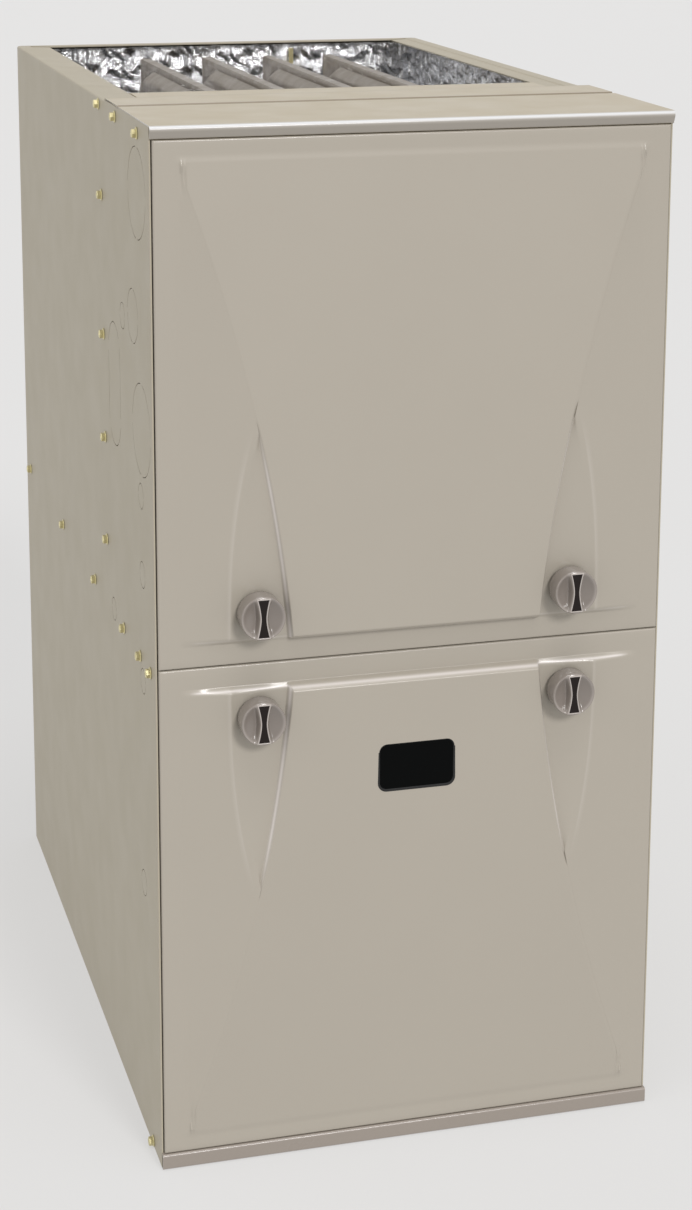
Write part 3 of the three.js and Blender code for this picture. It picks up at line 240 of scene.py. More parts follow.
# %% [markdown]
# ## Shapes that sheet metal takes
#
# A folded sheet is a line with rounded corners, given a thickness and carried straight along
# one direction. A turned part is a profile spun about an axis. A pressed rim is a small
# profile carried round an outline. Blender's own tools could make each by hand; as functions
# they keep every fold on the same sizes as the solids. What repeats is one shape whose corners
# are added to every place, or turned about an axis, in a single sum.

# %% Lines, folds, bars, turned parts, pipes and shapes that repeat
AXES = {"x": 0, "s": 1, "z": 2}
PLANE = {"x": [1, 2], "s": [0, 2], "z": [0, 1]}


def rounded_path(corners, radius, steps=5, closed=False):
    """A line whose corners are arcs: each arc touches both sides at radius * tan(turn / 2)."""
    corners = np.asarray(corners, float)
    count = len(corners)
    radii = np.broadcast_to(radius, count)
    line = []
    for i, corner in enumerate(corners):
        if not closed and i in (0, count - 1) or radii[i] <= 0:
            line.append(corner[None])
            continue
        a, b = corners[i - 1] - corner, corners[(i + 1) % count] - corner
        a, b = a / np.linalg.norm(a), b / np.linalg.norm(b)
        half_turn = math.acos(np.clip(-a @ b, -1, 1)) / 2
        if half_turn < 1e-3:
            line.append(corner[None])
            continue
        centre = corner + (a + b) / np.linalg.norm(a + b) * radii[i] / math.cos(half_turn)
        start = corner + a * radii[i] * math.tan(half_turn) - centre
        end = corner + b * radii[i] * math.tan(half_turn) - centre
        t = np.linspace(0, 1, steps + 1)[:, None]
        w = 2 * half_turn
        line.append(centre + (np.sin((1 - t) * w) * start + np.sin(t * w) * end) / math.sin(w))
    return np.concatenate(line)


def shifted(path, distance, closed=False):
    """The path moved sideways to its left: each corner goes out along its mitre."""
    before, after = np.roll(path, 1, 0), np.roll(path, -1, 0)
    if not closed:
        before[0], after[-1] = 2 * path[0] - path[1], 2 * path[-1] - path[-2]
    into, out = path - before, after - path
    into /= np.linalg.norm(into, axis=1, keepdims=True)
    out /= np.linalg.norm(out, axis=1, keepdims=True)
    mitre = (into + out) / (1 + np.sum(into * out, 1, keepdims=True))
    return path + distance * np.stack([-mitre[:, 1], mitre[:, 0]], 1)


def folded(path, thickness):
    """The outline of a bent sheet: the line, and back along the line moved by the thickness."""
    path = np.asarray(path, float)
    return np.vstack([path, shifted(path, thickness)[::-1]])


def bar(outline, axis, start, end):
    """An outline carried straight along an axis; start and end may differ at each corner."""
    outline = np.asarray(outline, float)
    count = len(outline)
    points = np.zeros((2, count, 3))
    points[:, :, PLANE[axis]] = outline
    points[0, :, AXES[axis]] = start
    points[1, :, AXES[axis]] = end
    ends = np.arange(2 * count).reshape(2, count)
    return points, [grid_faces(2, count, wrap_columns=True), ends]


def block(xs, ss, zs):
    """A plain block, given by its spans."""
    (a, b), (c, d) = xs, ss
    return bar([[a, c], [b, c], [b, d], [a, d]], "z", *zs)


def turned(profile, axis, centre, sides=48, start_angle=0.0):
    """A profile of [radius, place] spun about an axis through the centre."""
    profile = np.asarray(profile, float)
    angle = start_angle + np.linspace(0, 2 * np.pi, sides, endpoint=False)
    points = np.zeros((len(profile), sides, 3))
    first, second = PLANE[axis]
    points[:, :, first] = centre[first] + profile[:, :1] * np.cos(angle)
    points[:, :, second] = centre[second] + profile[:, :1] * np.sin(angle)
    points[:, :, AXES[axis]] = centre[AXES[axis]] + profile[:, 1:]
    return points, [grid_faces(len(profile), sides, wrap_columns=True)]


def rounded_rectangle(width, height, radius, steps=8, centre=(0, 0)):
    """A closed outline with rounded corners."""
    w, h = width / 2, height / 2
    corners = np.array([[-w, -h], [w, -h], [w, h], [-w, h]]) + centre
    return rounded_path(corners, radius, steps, closed=True)


def rim(outline, profile, axis, level):
    """A closed profile of [outwards, along the axis] carried round a closed outline."""
    profile = np.asarray(profile, float)
    rings = [shifted(outline, -out, closed=True) for out, _ in profile]
    points = np.zeros((len(profile), len(outline), 3))
    points[:, :, PLANE[axis]] = np.stack(rings)
    points[:, :, AXES[axis]] = level + profile[:, 1:]
    return points, [grid_faces(len(profile), len(outline), wrap_rows=True, wrap_columns=True)]


def frames_along(path):
    """Two directions square to a path at each point, carried on without twisting."""
    tangent = np.gradient(path, axis=0)
    tangent /= np.linalg.norm(tangent, axis=1, keepdims=True)
    helper = [0, 0, 1] if abs(tangent[0, 2]) < 0.9 else [1, 0, 0]
    first = np.cross(tangent[0], helper)
    sides = [first / np.linalg.norm(first)]
    for direction in tangent[1:]:
        side = sides[-1] - direction * (sides[-1] @ direction)
        sides.append(side / np.linalg.norm(side))
    sides = np.array(sides)
    return sides, np.cross(tangent, sides)


def smooth_route(points, samples):
    """A Catmull-Rom curve through the points, its knots spaced by the root of each distance."""
    points = np.asarray(points, float)
    padded = np.vstack([2 * points[0] - points[1], points, 2 * points[-1] - points[-2]])
    step = np.linalg.norm(np.diff(padded, axis=0), axis=1) ** 0.5
    place = np.linspace(0, len(points) - 1, samples)
    i = np.minimum(place.astype(int), len(points) - 2)
    t = (place - i)[:, None]
    p0, p1, p2, p3 = (padded[i + k] for k in range(4))
    d0, d1, d2 = (step[i + k][:, None] for k in range(3))
    leave = ((p1 - p0) / d0 - (p2 - p0) / (d0 + d1) + (p2 - p1) / d1) * d1
    arrive = ((p2 - p1) / d1 - (p3 - p1) / (d1 + d2) + (p3 - p2) / d2) * d1
    return (p1 + leave * t + (3 * (p2 - p1) - 2 * leave - arrive) * t ** 2
            + (2 * (p1 - p2) + leave + arrive) * t ** 3)


def pipe(path, radius, sides=12):
    """A round tube along a path, its radius given once or at each point, closed at both ends."""
    path = np.asarray(path, float)
    side, other = frames_along(path)
    angle = np.linspace(0, 2 * np.pi, sides, endpoint=False)[None, :, None]
    reach = np.broadcast_to(radius, len(path))[:, None, None]
    points = path[:, None] + reach * (np.cos(angle) * side[:, None] + np.sin(angle) * other[:, None])
    last = (len(path) - 1) * sides
    ends = np.array([np.arange(sides)[::-1], last + np.arange(sides)])
    return points, [grid_faces(len(path), sides, wrap_columns=True), ends]


def copies(every, faces):
    """Corners given copy by copy, and the faces of one copy moved on to each."""
    start = np.arange(len(every))[:, None, None] * every.shape[1]
    return every, [(f[None] + start).reshape(-1, f.shape[1]) for f in faces]


def repeated(part, shifts):
    """One part at many places: its corners plus each shift."""
    points, faces = joined([part])
    return copies(points[None] + np.asarray(shifts, float)[:, None], faces)


def around(part, axis, centre, count, start_angle=0.0):
    """One part turned in equal steps about an axis through the centre."""
    points, faces = joined([part])
    first, second = PLANE[axis]
    angle = math.radians(start_angle) + 2 * np.pi * np.arange(count)[:, None] / count
    u, v = points[:, first] - centre[first], points[:, second] - centre[second]
    every = np.repeat(points[None], count, 0)
    every[..., first] = centre[first] + u * np.cos(angle) - v * np.sin(angle)
    every[..., second] = centre[second] + u * np.sin(angle) + v * np.cos(angle)
    return copies(every, faces)


def two_sided(front, back):
    """Two grids of one shape, front and back, joined by walls all round their edge."""
    rows, columns = front.shape[:2]
    edge = np.concatenate([np.arange(columns), columns * np.arange(1, rows) + columns - 1,
                           (rows - 1) * columns + np.arange(columns - 2, -1, -1),
                           columns * np.arange(rows - 2, 0, -1)])
    after = np.roll(edge, -1)
    walls = np.stack([edge, after, after + rows * columns, edge + rows * columns], 1)
    faces = grid_faces(rows, columns)
    return np.stack([front, back]), [faces, faces[:, ::-1] + rows * columns, walls]


print("shapes ready")

# %% [markdown]
# ## Finishes
#
# The cabinet is baked enamel over sheet steel: satin, faintly uneven in tone, with the fine
# ripple that painters call orange peel. Behind the doors are galvanised and aluminised steel,
# foil, moulded plastics and rubber. Each finish is a Principled shader with noise on Object
# coordinates: the colour moves a little about its mean, the roughness too, and a bump gives
# the grain. A value that is the same all over is set on the shader itself. Some light and shade
# is painted into the colour: where a pressed ridge catches the light or a groove lies in shade,
# `mark` writes a share at every corner of the mesh, and a mix in the material blends a painted
# highlight or a painted shade in by that share.

# %% Build a finish from a few numbers
def srgb(*levels):
    """Screen levels from 0 to 255 as linear light."""
    v = np.array(levels) / 255
    return tuple(np.where(v <= 0.04045, v / 12.92, ((v + 0.055) / 1.055) ** 2.4)) + (1.0,)


class Finish:
    """A material whose nodes are added one effect at a time."""

    def __init__(self, name, slot, color, roughness, metallic=0.0, **sockets):
        self.material = bpy.data.materials.new(name)
        self.material.use_nodes = True
        self.tree = self.material.node_tree
        self.shader = self.tree.nodes["Principled BSDF"]
        self.color = color
        self.shader.inputs["Base Color"].default_value = color
        self.shader.inputs["Roughness"].default_value = roughness
        self.shader.inputs["Metallic"].default_value = metallic
        for socket, value in sockets.items():
            self.shader.inputs[socket.replace("_", " ")].default_value = value
        self.place = self.tree.nodes.new("ShaderNodeTexCoord").outputs["Object"]
        self.normal = None

    def noise(self, scale, detail=3.0, roughness=0.5, stretch=None):
        """Cloudy values from 0 to 1; scale is in cells per metre, stretch squeezes an axis."""
        made = self.tree.nodes.new("ShaderNodeTexNoise")
        made.inputs["Scale"].default_value = scale
        made.inputs["Detail"].default_value = detail
        made.inputs["Roughness"].default_value = roughness
        where = self.place
        if stretch:
            mapping = self.tree.nodes.new("ShaderNodeMapping")
            mapping.inputs["Scale"].default_value = stretch
            self.tree.links.new(where, mapping.inputs["Vector"])
            where = mapping.outputs["Vector"]
        self.tree.links.new(where, made.inputs["Vector"])
        return made.outputs["Fac"]

    def ranged(self, value, low, high, from_low=0.3, from_high=0.7):
        """A value between two limits becomes one between two others."""
        made = self.tree.nodes.new("ShaderNodeMapRange")
        limits = {"From Min": from_low, "From Max": from_high, "To Min": low, "To Max": high}
        for socket, number in limits.items():
            made.inputs[socket].default_value = number
        self.tree.links.new(value, made.inputs["Value"])
        return made.outputs["Result"]

    def tint(self, value, first, second):
        """The base colour goes from first to second as the value goes from 0 to 1."""
        ramp = self.tree.nodes.new("ShaderNodeValToRGB")
        ramp.color_ramp.elements[0].color = first
        ramp.color_ramp.elements[1].color = second
        self.tree.links.new(value, ramp.inputs["Fac"])
        self.tree.links.new(ramp.outputs["Color"], self.shader.inputs["Base Color"])
        return self

    def mottle(self, value, share):
        """The colour is a share darker and lighter than its mean."""
        low = tuple(c * (1 - share) for c in self.color[:3]) + (1.0,)
        high = tuple(min(1, c * (1 + share)) for c in self.color[:3]) + (1.0,)
        return self.tint(value, low, high)

    def gloss(self, value, low, high):
        """The roughness moves between two limits."""
        self.tree.links.new(self.ranged(value, low, high), self.shader.inputs["Roughness"])
        return self

    def grain(self, value, depth, strength=1.0):
        """A bump whose hills are depth millimetres high, on top of the one before it."""
        bump = self.tree.nodes.new("ShaderNodeBump")
        bump.inputs["Strength"].default_value = strength
        bump.inputs["Distance"].default_value = depth * 0.001
        self.tree.links.new(value, bump.inputs["Height"])
        if self.normal:
            self.tree.links.new(self.normal, bump.inputs["Normal"])
        self.normal = bump.outputs["Normal"]
        self.tree.links.new(self.normal, self.shader.inputs["Normal"])
        return self


def enamel(name, slot, color, roughness=0.42, coat=0.4, shine=0.5):
    """Baked enamel: broad mottling, orange peel about 1.5 mm across, and a coat of gloss."""
    made = Finish(name, slot, color, roughness, Coat_Weight=coat, Coat_Roughness=0.14,
                  Specular_IOR_Level=shine)
    made.mottle(made.noise(9, 4), 0.02)
    made.gloss(made.noise(24, 3), roughness - 0.05, roughness + 0.05)
    made.grain(made.noise(620, 2), 0.05, 0.22)
    made.grain(made.noise(45, 2), 0.25, 0.10)
    return made.material


def paint_light_and_shade(material, attribute, color):
    """Painted light and shade: the colour gives way to a lighter or darker one where an attribute of the mesh
    nears 1.
    """
    tree = material.node_tree
    base = tree.nodes["Principled BSDF"].inputs["Base Color"]
    where = tree.nodes.new("ShaderNodeAttribute")
    where.attribute_name = attribute
    blend = tree.nodes.new("ShaderNodeMix")
    blend.data_type = "RGBA"
    tree.links.new(where.outputs["Fac"], blend.inputs["Factor"])
    tree.links.new(base.links[0].from_socket, blend.inputs["A"])
    blend.inputs["B"].default_value = color
    tree.links.new(blend.outputs["Result"], base)
    return material


def mark(mesh, attribute, share):
    """An attribute on every corner, worked out from its x, s and z in millimetres."""
    places = np.empty(3 * len(mesh.vertices), np.float32)
    mesh.vertices.foreach_get("co", places)
    x, y, z = 1000 * places.reshape(-1, 3).T
    layer = mesh.attributes.new(attribute, "FLOAT", "POINT")
    layer.data.foreach_set("value", share(x, y - NOSE_Y, z).astype(np.float32))


def galvanised_steel(name, slot, color, roughness=0.42):
    """Zinc crystals: cells about 4 mm across, each with its own tone, gloss and tilt."""
    made = Finish(name, slot, color, roughness, metallic=0.95)
    cells = made.tree.nodes.new("ShaderNodeTexVoronoi")
    cells.inputs["Scale"].default_value = 260
    made.tree.links.new(made.place, cells.inputs["Vector"])
    tone = made.tree.nodes.new("ShaderNodeSeparateColor")
    made.tree.links.new(cells.outputs["Color"], tone.inputs["Color"])
    made.mottle(tone.outputs["Red"], 0.08)
    made.tree.links.new(made.ranged(tone.outputs["Green"], roughness - 0.1, roughness + 0.14, 0, 1),
                        made.shader.inputs["Roughness"])
    made.grain(tone.outputs["Blue"], 0.06, 0.1)
    made.grain(made.noise(500, 3), 0.05, 0.15)
    return made.material


def rolled_steel(name, slot, color, roughness=0.36, stretch=(30, 1, 1), metallic=1.0):
    """Rolled or drawn metal: long faint streaks along one direction, and soft clouds."""
    made = Finish(name, slot, color, roughness, metallic)
    streaks = made.noise(24, 5, 0.65, stretch)
    made.mottle(streaks, 0.14)
    made.gloss(made.noise(60, 3), roughness - 0.08, roughness + 0.12)
    made.grain(streaks, 0.08, 0.25)
    return made.material


def plated(name, color, roughness, metallic, cells, share):
    """Plating or brass on small parts: its colour is cloudy by a share, cells per metre apart."""
    made = Finish(name, "galvanised", color, roughness, metallic)
    made.mottle(made.noise(cells, 3), share)
    return made.material


def moulded(name, slot, color, roughness, grain_depth=0.05, share=0.04, **sockets):
    """Moulded plastic or rubber: nearly even in colour, with a fine spark-eroded grain."""
    made = Finish(name, slot, color, roughness, **sockets)
    made.mottle(made.noise(40, 3), share)
    made.gloss(made.noise(90, 3), max(0.02, roughness - 0.05), roughness + 0.07)
    made.grain(made.noise(900, 2), grain_depth, 0.2)
    return made.material


TAN, GREIGE = srgb(174, 160, 130), srgb(164, 157, 145)
wall_paint = enamel("wall_enamel", "greige_paint", srgb(174, 166, 148), 0.5, 0.05, 0.22)
flange_paint = enamel("tan_enamel", "tan_paint", TAN, 0.34, 0.25)
rail_paint = enamel("rail_enamel", "greige_paint", srgb(143, 134, 125), 0.32)
galvanised = galvanised_steel("galvanised_sheet", "galvanised", srgb(178, 181, 184))
aluminised = rolled_steel("aluminised_sheet", "aluminised_steel", srgb(168, 168, 166))
cell_steel = rolled_steel("cell_steel", "aluminised_steel", srgb(160, 151, 140), 0.36, metallic=0.8)
fin_metal = rolled_steel("fin_metal", "coil_metal", srgb(196, 198, 200), 0.3, (1, 1, 40))
zinc = plated("yellow_zinc", srgb(214, 204, 158), 0.32, 0.75, 300, 0.2)
brass = plated("brass", srgb(206, 172, 92), 0.28, 1.0, 200, 0.1)
knob_finish = moulded("knob_plastic", "knob_plastic", srgb(128, 120, 113), 0.2, 0.01,
                      Coat_Weight=0.5, Coat_Roughness=0.1)
# The knob plastic is painted lighter at the rim of the face: a painted highlight.
paint_light_and_shade(knob_finish, "ridge", srgb(188, 180, 174))
edge_finish = moulded("knob_edge_plastic", "knob_plastic", srgb(178, 170, 164), 0.22, 0.01,
                      Coat_Weight=0.5)
bow_finish = moulded("bow_recess_plastic", "knob_plastic", srgb(27, 20, 18), 0.4, 0.02,
                     Specular_IOR_Level=0.2)
glass_finish = moulded("dark_window", "dark_glass", srgb(4, 5, 5), 0.06, 0.0, 0.02,
                       Specular_IOR_Level=0.06)
rubber = moulded("black_rubber", "black_rubber", srgb(24, 24, 24), 0.75, 0.12)
black_plastic = moulded("black_plastic", "black_plastic", srgb(34, 35, 37), 0.48, 0.08)
black_paint = moulded("black_enamel", "black_paint", srgb(28, 29, 31), 0.35, 0.06)
cast_metal = moulded("cast_aluminium", "cast_aluminium", srgb(176, 178, 180), 0.5, 0.25, 0.06,
                     Metallic=0.9)
board_finish = moulded("board_green", "board_green", srgb(24, 84, 52), 0.35, 0.03)
ceramic = moulded("ceramic", "ceramic", srgb(226, 222, 210), 0.7, 0.1)
red_plastic = moulded("red_plastic", "red_plastic", srgb(186, 44, 34), 0.35, 0.03)
white_plastic = moulded("white_plastic", "white_plastic", srgb(224, 224, 218), 0.42, 0.04)
clear_hose = moulded("clear_hose", "clear_tube", srgb(214, 208, 190), 0.3, 0.03,
                     Subsurface_Weight=0.2)

# %% [markdown]
# ## The casing
#
# One long sheet of painted steel, folded at the two rear corners, makes the left wall, the
# back and the right wall. At the top it folds inwards to a flange that the duct sits on. The
# walls are one outline extruded upwards; each flange is a folded line carried along its wall
# and cut on a slant where two flanges meet, with the small open notch that a folding machine
# needs at the corner.

# %% Walls, flanges and jambs
WALL_TOP = 882.0
CORNER = 3.2
FOOT_WIDTH, JAMB_WIDTH = 28.0, 20.0


def casing_walls():
    """A U of sheet: down the left side, round two rear corners, and back along the right."""
    line = [[-HALF, 5], [-HALF, DEPTH], [HALF, DEPTH], [HALF, 5]]
    path = rounded_path(line, CORNER, 6)[::-1]
    return bar(folded(path, SHEET), "z", 0, WALL_TOP)


def side_flange(side):
    """The wall's top edge folded inwards with a shallow step, mitred to the flange at the back."""
    x, low = side * HALF, CASING_TOP - 0.7
    line = [[x, WALL_TOP], [x, CASING_TOP], [x - side * 13, CASING_TOP], [x - side * 14, low],
            [x - side * OUTLET_FLANGE, low]]
    outline = folded(rounded_path(line, [0, 1.9, 0.8, 0.8, 0], 4), side * SHEET)
    inset = np.abs(outline[:, 0] - x)
    rear = np.minimum(DEPTH - 1.6 - inset * REAR_FLANGE / OUTLET_FLANGE, DEPTH - CORNER - 0.2)
    return bar(outline, "s", CAP_REAR + 0.3, rear)


def rear_flange():
    """The same fold at the back, 16 mm wide, between two mitres."""
    line = [[DEPTH, WALL_TOP], [DEPTH, CASING_TOP], [DEPTH - REAR_FLANGE, CASING_TOP]]
    outline = folded(rounded_path(line, 1.9, 4), SHEET)
    inset = DEPTH - outline[:, 0]
    end = np.minimum(HALF - 0.6 - inset * OUTLET_FLANGE / REAR_FLANGE, HALF - CORNER - 0.2)
    return bar(outline, "x", -end, end)


def casing_folds():
    """Top flanges, the walls' strips under the cap, flanges on the floor, and the door jambs."""
    parts = [rear_flange()]
    for side in (-1, 1):
        x = side * HALF
        inner = x - side * SHEET
        parts += [
            side_flange(side),
            block(sorted([x, inner]), [5, CAP_REAR + 0.3], [WALL_TOP, HEIGHT - SHEET - 0.1]),
            block(sorted([inner, x - side * FOOT_WIDTH]), [40.3, DEPTH - SHEET], [0, SHEET]),
            block(sorted([inner, x - side * JAMB_WIDTH]), [DOOR_BACK + 0.3, DOOR_BACK + 1.5],
                  [14, CASING_TOP - 0.3]),
        ]
    between = HALF - FOOT_WIDTH
    parts.append(block([-between, between], [DEPTH - FOOT_WIDTH, DEPTH - SHEET], [0, SHEET]))
    return parts


casing = piece("casing_walls", [casing_walls()], wall_paint, stands_for=["casing_wrapper"], crease=28)
folds = piece("casing_folds", casing_folds(), wall_paint, crease=28)
print("casing faces:", len(casing.data.polygons) + len(folds.data.polygons))

# %% [markdown]
# ## Knockouts
#
# Round places in the wall are sheared nearly free, so that an installer can knock one out for
# the vent, gas, wires or drain. What shows is a hair-thin ring, broken where short ties still
# hold the disc. The rings are really cut: thin arcs of metal are taken out of the wall.

# %% Cut the knockout rings
ROUND_KNOCKOUTS = [(60, 828, 76), (84, 723, 46), (131, 714, 23), (52, 634, 78), (58, 577, 22),
                   (56, 510, 23), (193.5, 437, 21), (60, 416, 22), (68, 232, 23)]
LONG_KNOCKOUT = (173, 646, 54, 109)
KNOCKOUT_GAP = 0.7
RING_STEPS = 96


def arc_cutter(outline, first, last, side):
    """A run of a closed outline as a thin prism through the wall, on the side asked for."""
    run = outline[np.arange(first, last + 1) % len(outline)]
    x = sorted([side * (HALF - 4), side * (HALF + 4)])
    return bar(folded(run, KNOCKOUT_GAP), "x", *x)


def knockout(s, z, width, height, ties, side):
    """A round or long ring, cut as several arcs of even steps with ties between them."""
    outline = rounded_rectangle(width, height, min(width, height) / 2 - 1e-3, 16, (s, z))
    ring = np.vstack([outline, outline[:1]])
    length = np.r_[0, np.cumsum(np.linalg.norm(np.diff(ring, axis=0), axis=1))]
    even = np.linspace(0, length[-1], RING_STEPS + 1)[:-1]
    outline = np.stack([np.interp(even, length, ring[:, k]) for k in (0, 1)], 1)
    steps = RING_STEPS // ties
    return [arc_cutter(outline, k * steps + 2, (k + 1) * steps - 1, side) for k in range(ties)]


cutters = []
for s, z, across in ROUND_KNOCKOUTS:
    cutters += knockout(s, z, across, across, 4 if across > 40 else 2, -1)
cutters += knockout(*LONG_KNOCKOUT, 4, -1)
carve(casing, cutters)
casing.data.set_sharp_from_angle(angle=math.radians(28))
for folded_steel in (casing, folds):
    steady(folded_steel)
print("knockout rings:", len(ROUND_KNOCKOUTS) + 1)

# %% [markdown]
# ## The cap, the outlet's front flange and the base rail
#
# The cap is a sheet with a rounded nose that overhangs the doors. Towards the outlet it has a
# small dip, and behind the dip a strip that stands a little higher. The rail under the doors
# is a folded channel. All three are folded lines carried from side to side.

# %% Cap, flange and rail
def cap_parts():
    """Lower lip, a face that leans back under a tight bend, plate, a step up, rear strip."""
    strip = HEIGHT + 0.4
    line = [[14, NOSE_FOOT], [3.0, NOSE_FOOT], [0, 884.4], [0, HEIGHT], [CAP_JOGGLE - 7, HEIGHT],
            [CAP_JOGGLE - 0.6, HEIGHT - 0.9], [CAP_JOGGLE, strip], [CAP_JOGGLE + 1.5, strip],
            [CAP_REAR - 6, strip], [CAP_REAR - 2, strip], [CAP_REAR, HEIGHT - 0.3]]
    path = rounded_path(line, [0, 2.2, 3, 3.6, 2, 0.3, 0.3, 0, 0, 0.5, 0], 7)
    outline = folded(path, -SHEET)
    clear = (outline[:, 0] > 4.7) & (outline[:, 1] < CASING_TOP + 0.3)
    reach = np.where(clear, HALF - 1.7, HALF)
    return [bar(outline, "x", -reach, reach)]


def cap_groove_shade(x, s, z):
    """Painted shade: the dip before the rear strip, and the strip's rear edge, are painted darker."""
    return 0.7 * (np.abs(s - CAP_JOGGLE + 0.3) < 0.6) + 0.35 * (s > CAP_REAR - 3)


def cap_face_shade(x, s, z):
    """Painted shade: the nose's front face is painted a darker grey."""
    return (s < 3.3) * (z < HEIGHT - 0.2)


def cap_bend_highlight(x, s, z):
    """Painted highlight: the bend above the nose is painted pale."""
    return 0.8 * (s < 3.6) * np.exp(-((z - HEIGHT + 1.3) / 1.2) ** 2)


cap_paint = enamel("cap_enamel", "tan_paint", TAN, 0.34, 0.25)
cap = steady(piece("cap_with_nose", cap_parts(), cap_paint, stands_for=["top_cap"], crease=28))
# The nose's face is painted in shade, the bend above it with a highlight, the dip in shade.
for attribute, share, color in (("face", cap_face_shade, srgb(154, 148, 139)),
                                # The bend's pale colour is a painted highlight.
                                ("ridge", cap_bend_highlight, srgb(226, 228, 230)),
                                # The dip and the rear edge are painted dark as shade.
                                ("groove", cap_groove_shade, srgb(98, 88, 74))):
    mark(cap.data, attribute, share)
    paint_light_and_shade(cap_paint, attribute, color)

flange_line = rounded_path([[165, CASING_TOP], [OUTLET_FRONT, CASING_TOP],
                            [OUTLET_FRONT, CASING_TOP - LIP]], 2.0)
reach = HALF - OUTLET_FLANGE - 0.3
steady(piece("outlet_front_lip", [
    bar(folded(flange_line, -SHEET), "x", -reach, reach),
    block([-reach, reach], [216.5, 217.7], [864, CASING_TOP - SHEET]),
], flange_paint, stands_for=["outlet_front_flange"], crease=28))

rail_line = rounded_path([[21, RAIL], [0, RAIL], [0, 0], [40, 0]], [0, 2.2, 1.8, 0], 6)
rail_outline = folded(rail_line, SHEET)
rail_reach = np.where(rail_outline[:, 0] > 4.7, HALF - 1.7, HALF)
steady(piece("base_channel", [bar(rail_outline, "x", -rail_reach, rail_reach)], rail_paint,
             stands_for=["base_rail"], crease=28))
print("cap, flange and rail folded")

# %% [markdown]
# ## Pressed doors
#
# Each door is one sheet, pressed between dies. A field stands out near the split and falls
# back towards the far end; its edges sweep outwards, flat wings slope from it to the border,
# and beside each knob a spear-shaped pocket is pressed back in. The surface is a height over
# a grid of two parameters: the distance q from the split and the place across the row. Every
# row is a line through a few knots, and a running mean rounds the creases as a die does. The
# mean is 1 mm wide across a row; along q it is narrow at the foot of the ramp and wide above.

# %% Heights of the pressed sheet
STRIP, RAMP, FIELD, RAISED_LIP = 16.5, 4.6, 10.1, 0.4
FOOT, TIP_Q, TIP_REACH, OUTER_FOOT, SPEAR, STEP = 108.0, 205.0, 137.0, 159.0, 8.4, 2.6
BORDER, TOP_BORDER, LIP_RUN = 15.5, 11.0, 4.2
FIELD_CORNER = DOOR_HALF - BORDER
FOOT_BEND, TOP_BEND = 0.64, 3.0
DOOR_SHEET, DOOR_BEND = 1.4, 1.6


def sweep_reach(q, corner_q):
    """Half width of the field: a parabola through its foot, the spear's tip and the far corner."""
    run, rise = TIP_Q - STRIP, TIP_REACH - FOOT
    far_run, far_rise = corner_q - STRIP, FIELD_CORNER - FOOT
    bend = (far_rise / far_run - rise / run) / (far_run - run)
    slope = rise / run - bend * run
    return FOOT + slope * (q - STRIP) + bend * (q - STRIP) ** 2


def outer_reach(q, edge):
    """The pocket's outer edge: wide at the foot, and drawn in to the spear's tip as a power of 2.5."""
    to_tip = np.clip((q - STRIP) / (TIP_Q - STRIP), 0, 1)
    return np.maximum(edge + 2 * STEP, OUTER_FOOT - (OUTER_FOOT - TIP_REACH) * to_tip ** 2.5)


def field_rise(q, corner_q):
    """How far the field stands out: full at the split, and falling as a power of 2.2."""
    along = np.clip((q - STRIP - RAMP) / (corner_q - STRIP - RAMP), 0, 1)
    return RAISED_LIP + FIELD * (1 - along ** 2.2)


def row_knots(q, corner_q):
    """The line of one row, from the middle outwards: places across, and heights."""
    q = np.clip(q, STRIP + RAMP, corner_q)
    edge, rise = sweep_reach(q, corner_q), field_rise(q, corner_q)
    fade = np.sqrt(1 - np.clip((q - STRIP) / (TIP_Q - STRIP), 0, 1))
    outer = outer_reach(q, edge)
    corner = np.full_like(q, FIELD_CORNER)
    slope = (RAISED_LIP - rise) / (corner - LIP_RUN - edge)
    floor_inner = rise + slope * STEP - SPEAR * fade
    floor_outer = rise + slope * (outer - 5 - edge) - 1.5 * fade
    brim = rise + slope * (outer - edge)
    places = np.stack([0 * q, edge * 0.5, edge - 0.8, edge + STEP - 0.6, outer - 5, outer,
                       corner - LIP_RUN, corner, 0 * q + DOOR_HALF], 1)
    heights = np.stack([rise, rise, rise, floor_inner, floor_outer, brim,
                        0 * q + RAISED_LIP, 0 * q, 0 * q], 1)
    limit = FIELD_CORNER - np.array([13.2, 11.7, 10.2, 8.7, 7.2, 5.7, LIP_RUN, 0, -BORDER])
    return np.minimum(places, limit), np.maximum(heights, 0)


def eased(t):
    """0 to 1 with a flat start and a flat end."""
    t = np.clip(t, 0, 1)
    return t * t * (3 - 2 * t)


def pressed_height(q, x, corner_q):
    """The height at a distance q from the split and a place x across, for whole arrays."""
    rows = np.unique(q)
    places, heights = row_knots(rows, corner_q)
    window = np.linspace(-0.5, 0.5, 7)
    level = np.empty((len(rows), x.shape[1]))
    for i in range(len(rows)):
        spread = np.abs(x[i][:, None] + window)
        level[i] = np.interp(spread, places[i], heights[i]).mean(1)
    turn = np.where(rows < STRIP + RAMP / 2, FOOT_BEND, TOP_BEND)[:, None]
    up = np.clip((rows[:, None] + turn * window - STRIP) / RAMP, 0, 1).mean(1)
    down = 1 - eased((rows - corner_q + 6) / 7)
    return level * (up * down)[:, None]


def door_rows(height, corner_q):
    """Distances from the split: close together where the sheet bends."""
    return np.unique(np.concatenate([
        [0, 6, 12], np.linspace(STRIP - 0.5, STRIP + 0.5, 6),
        np.linspace(STRIP + 1, STRIP + RAMP + 2, 16), np.linspace(24, TIP_Q + 6, 74),
        np.linspace(TIP_Q + 10, corner_q - 8, 34), np.linspace(corner_q - 6.5, corner_q + 1.5, 15),
        [height - 4, height]]))


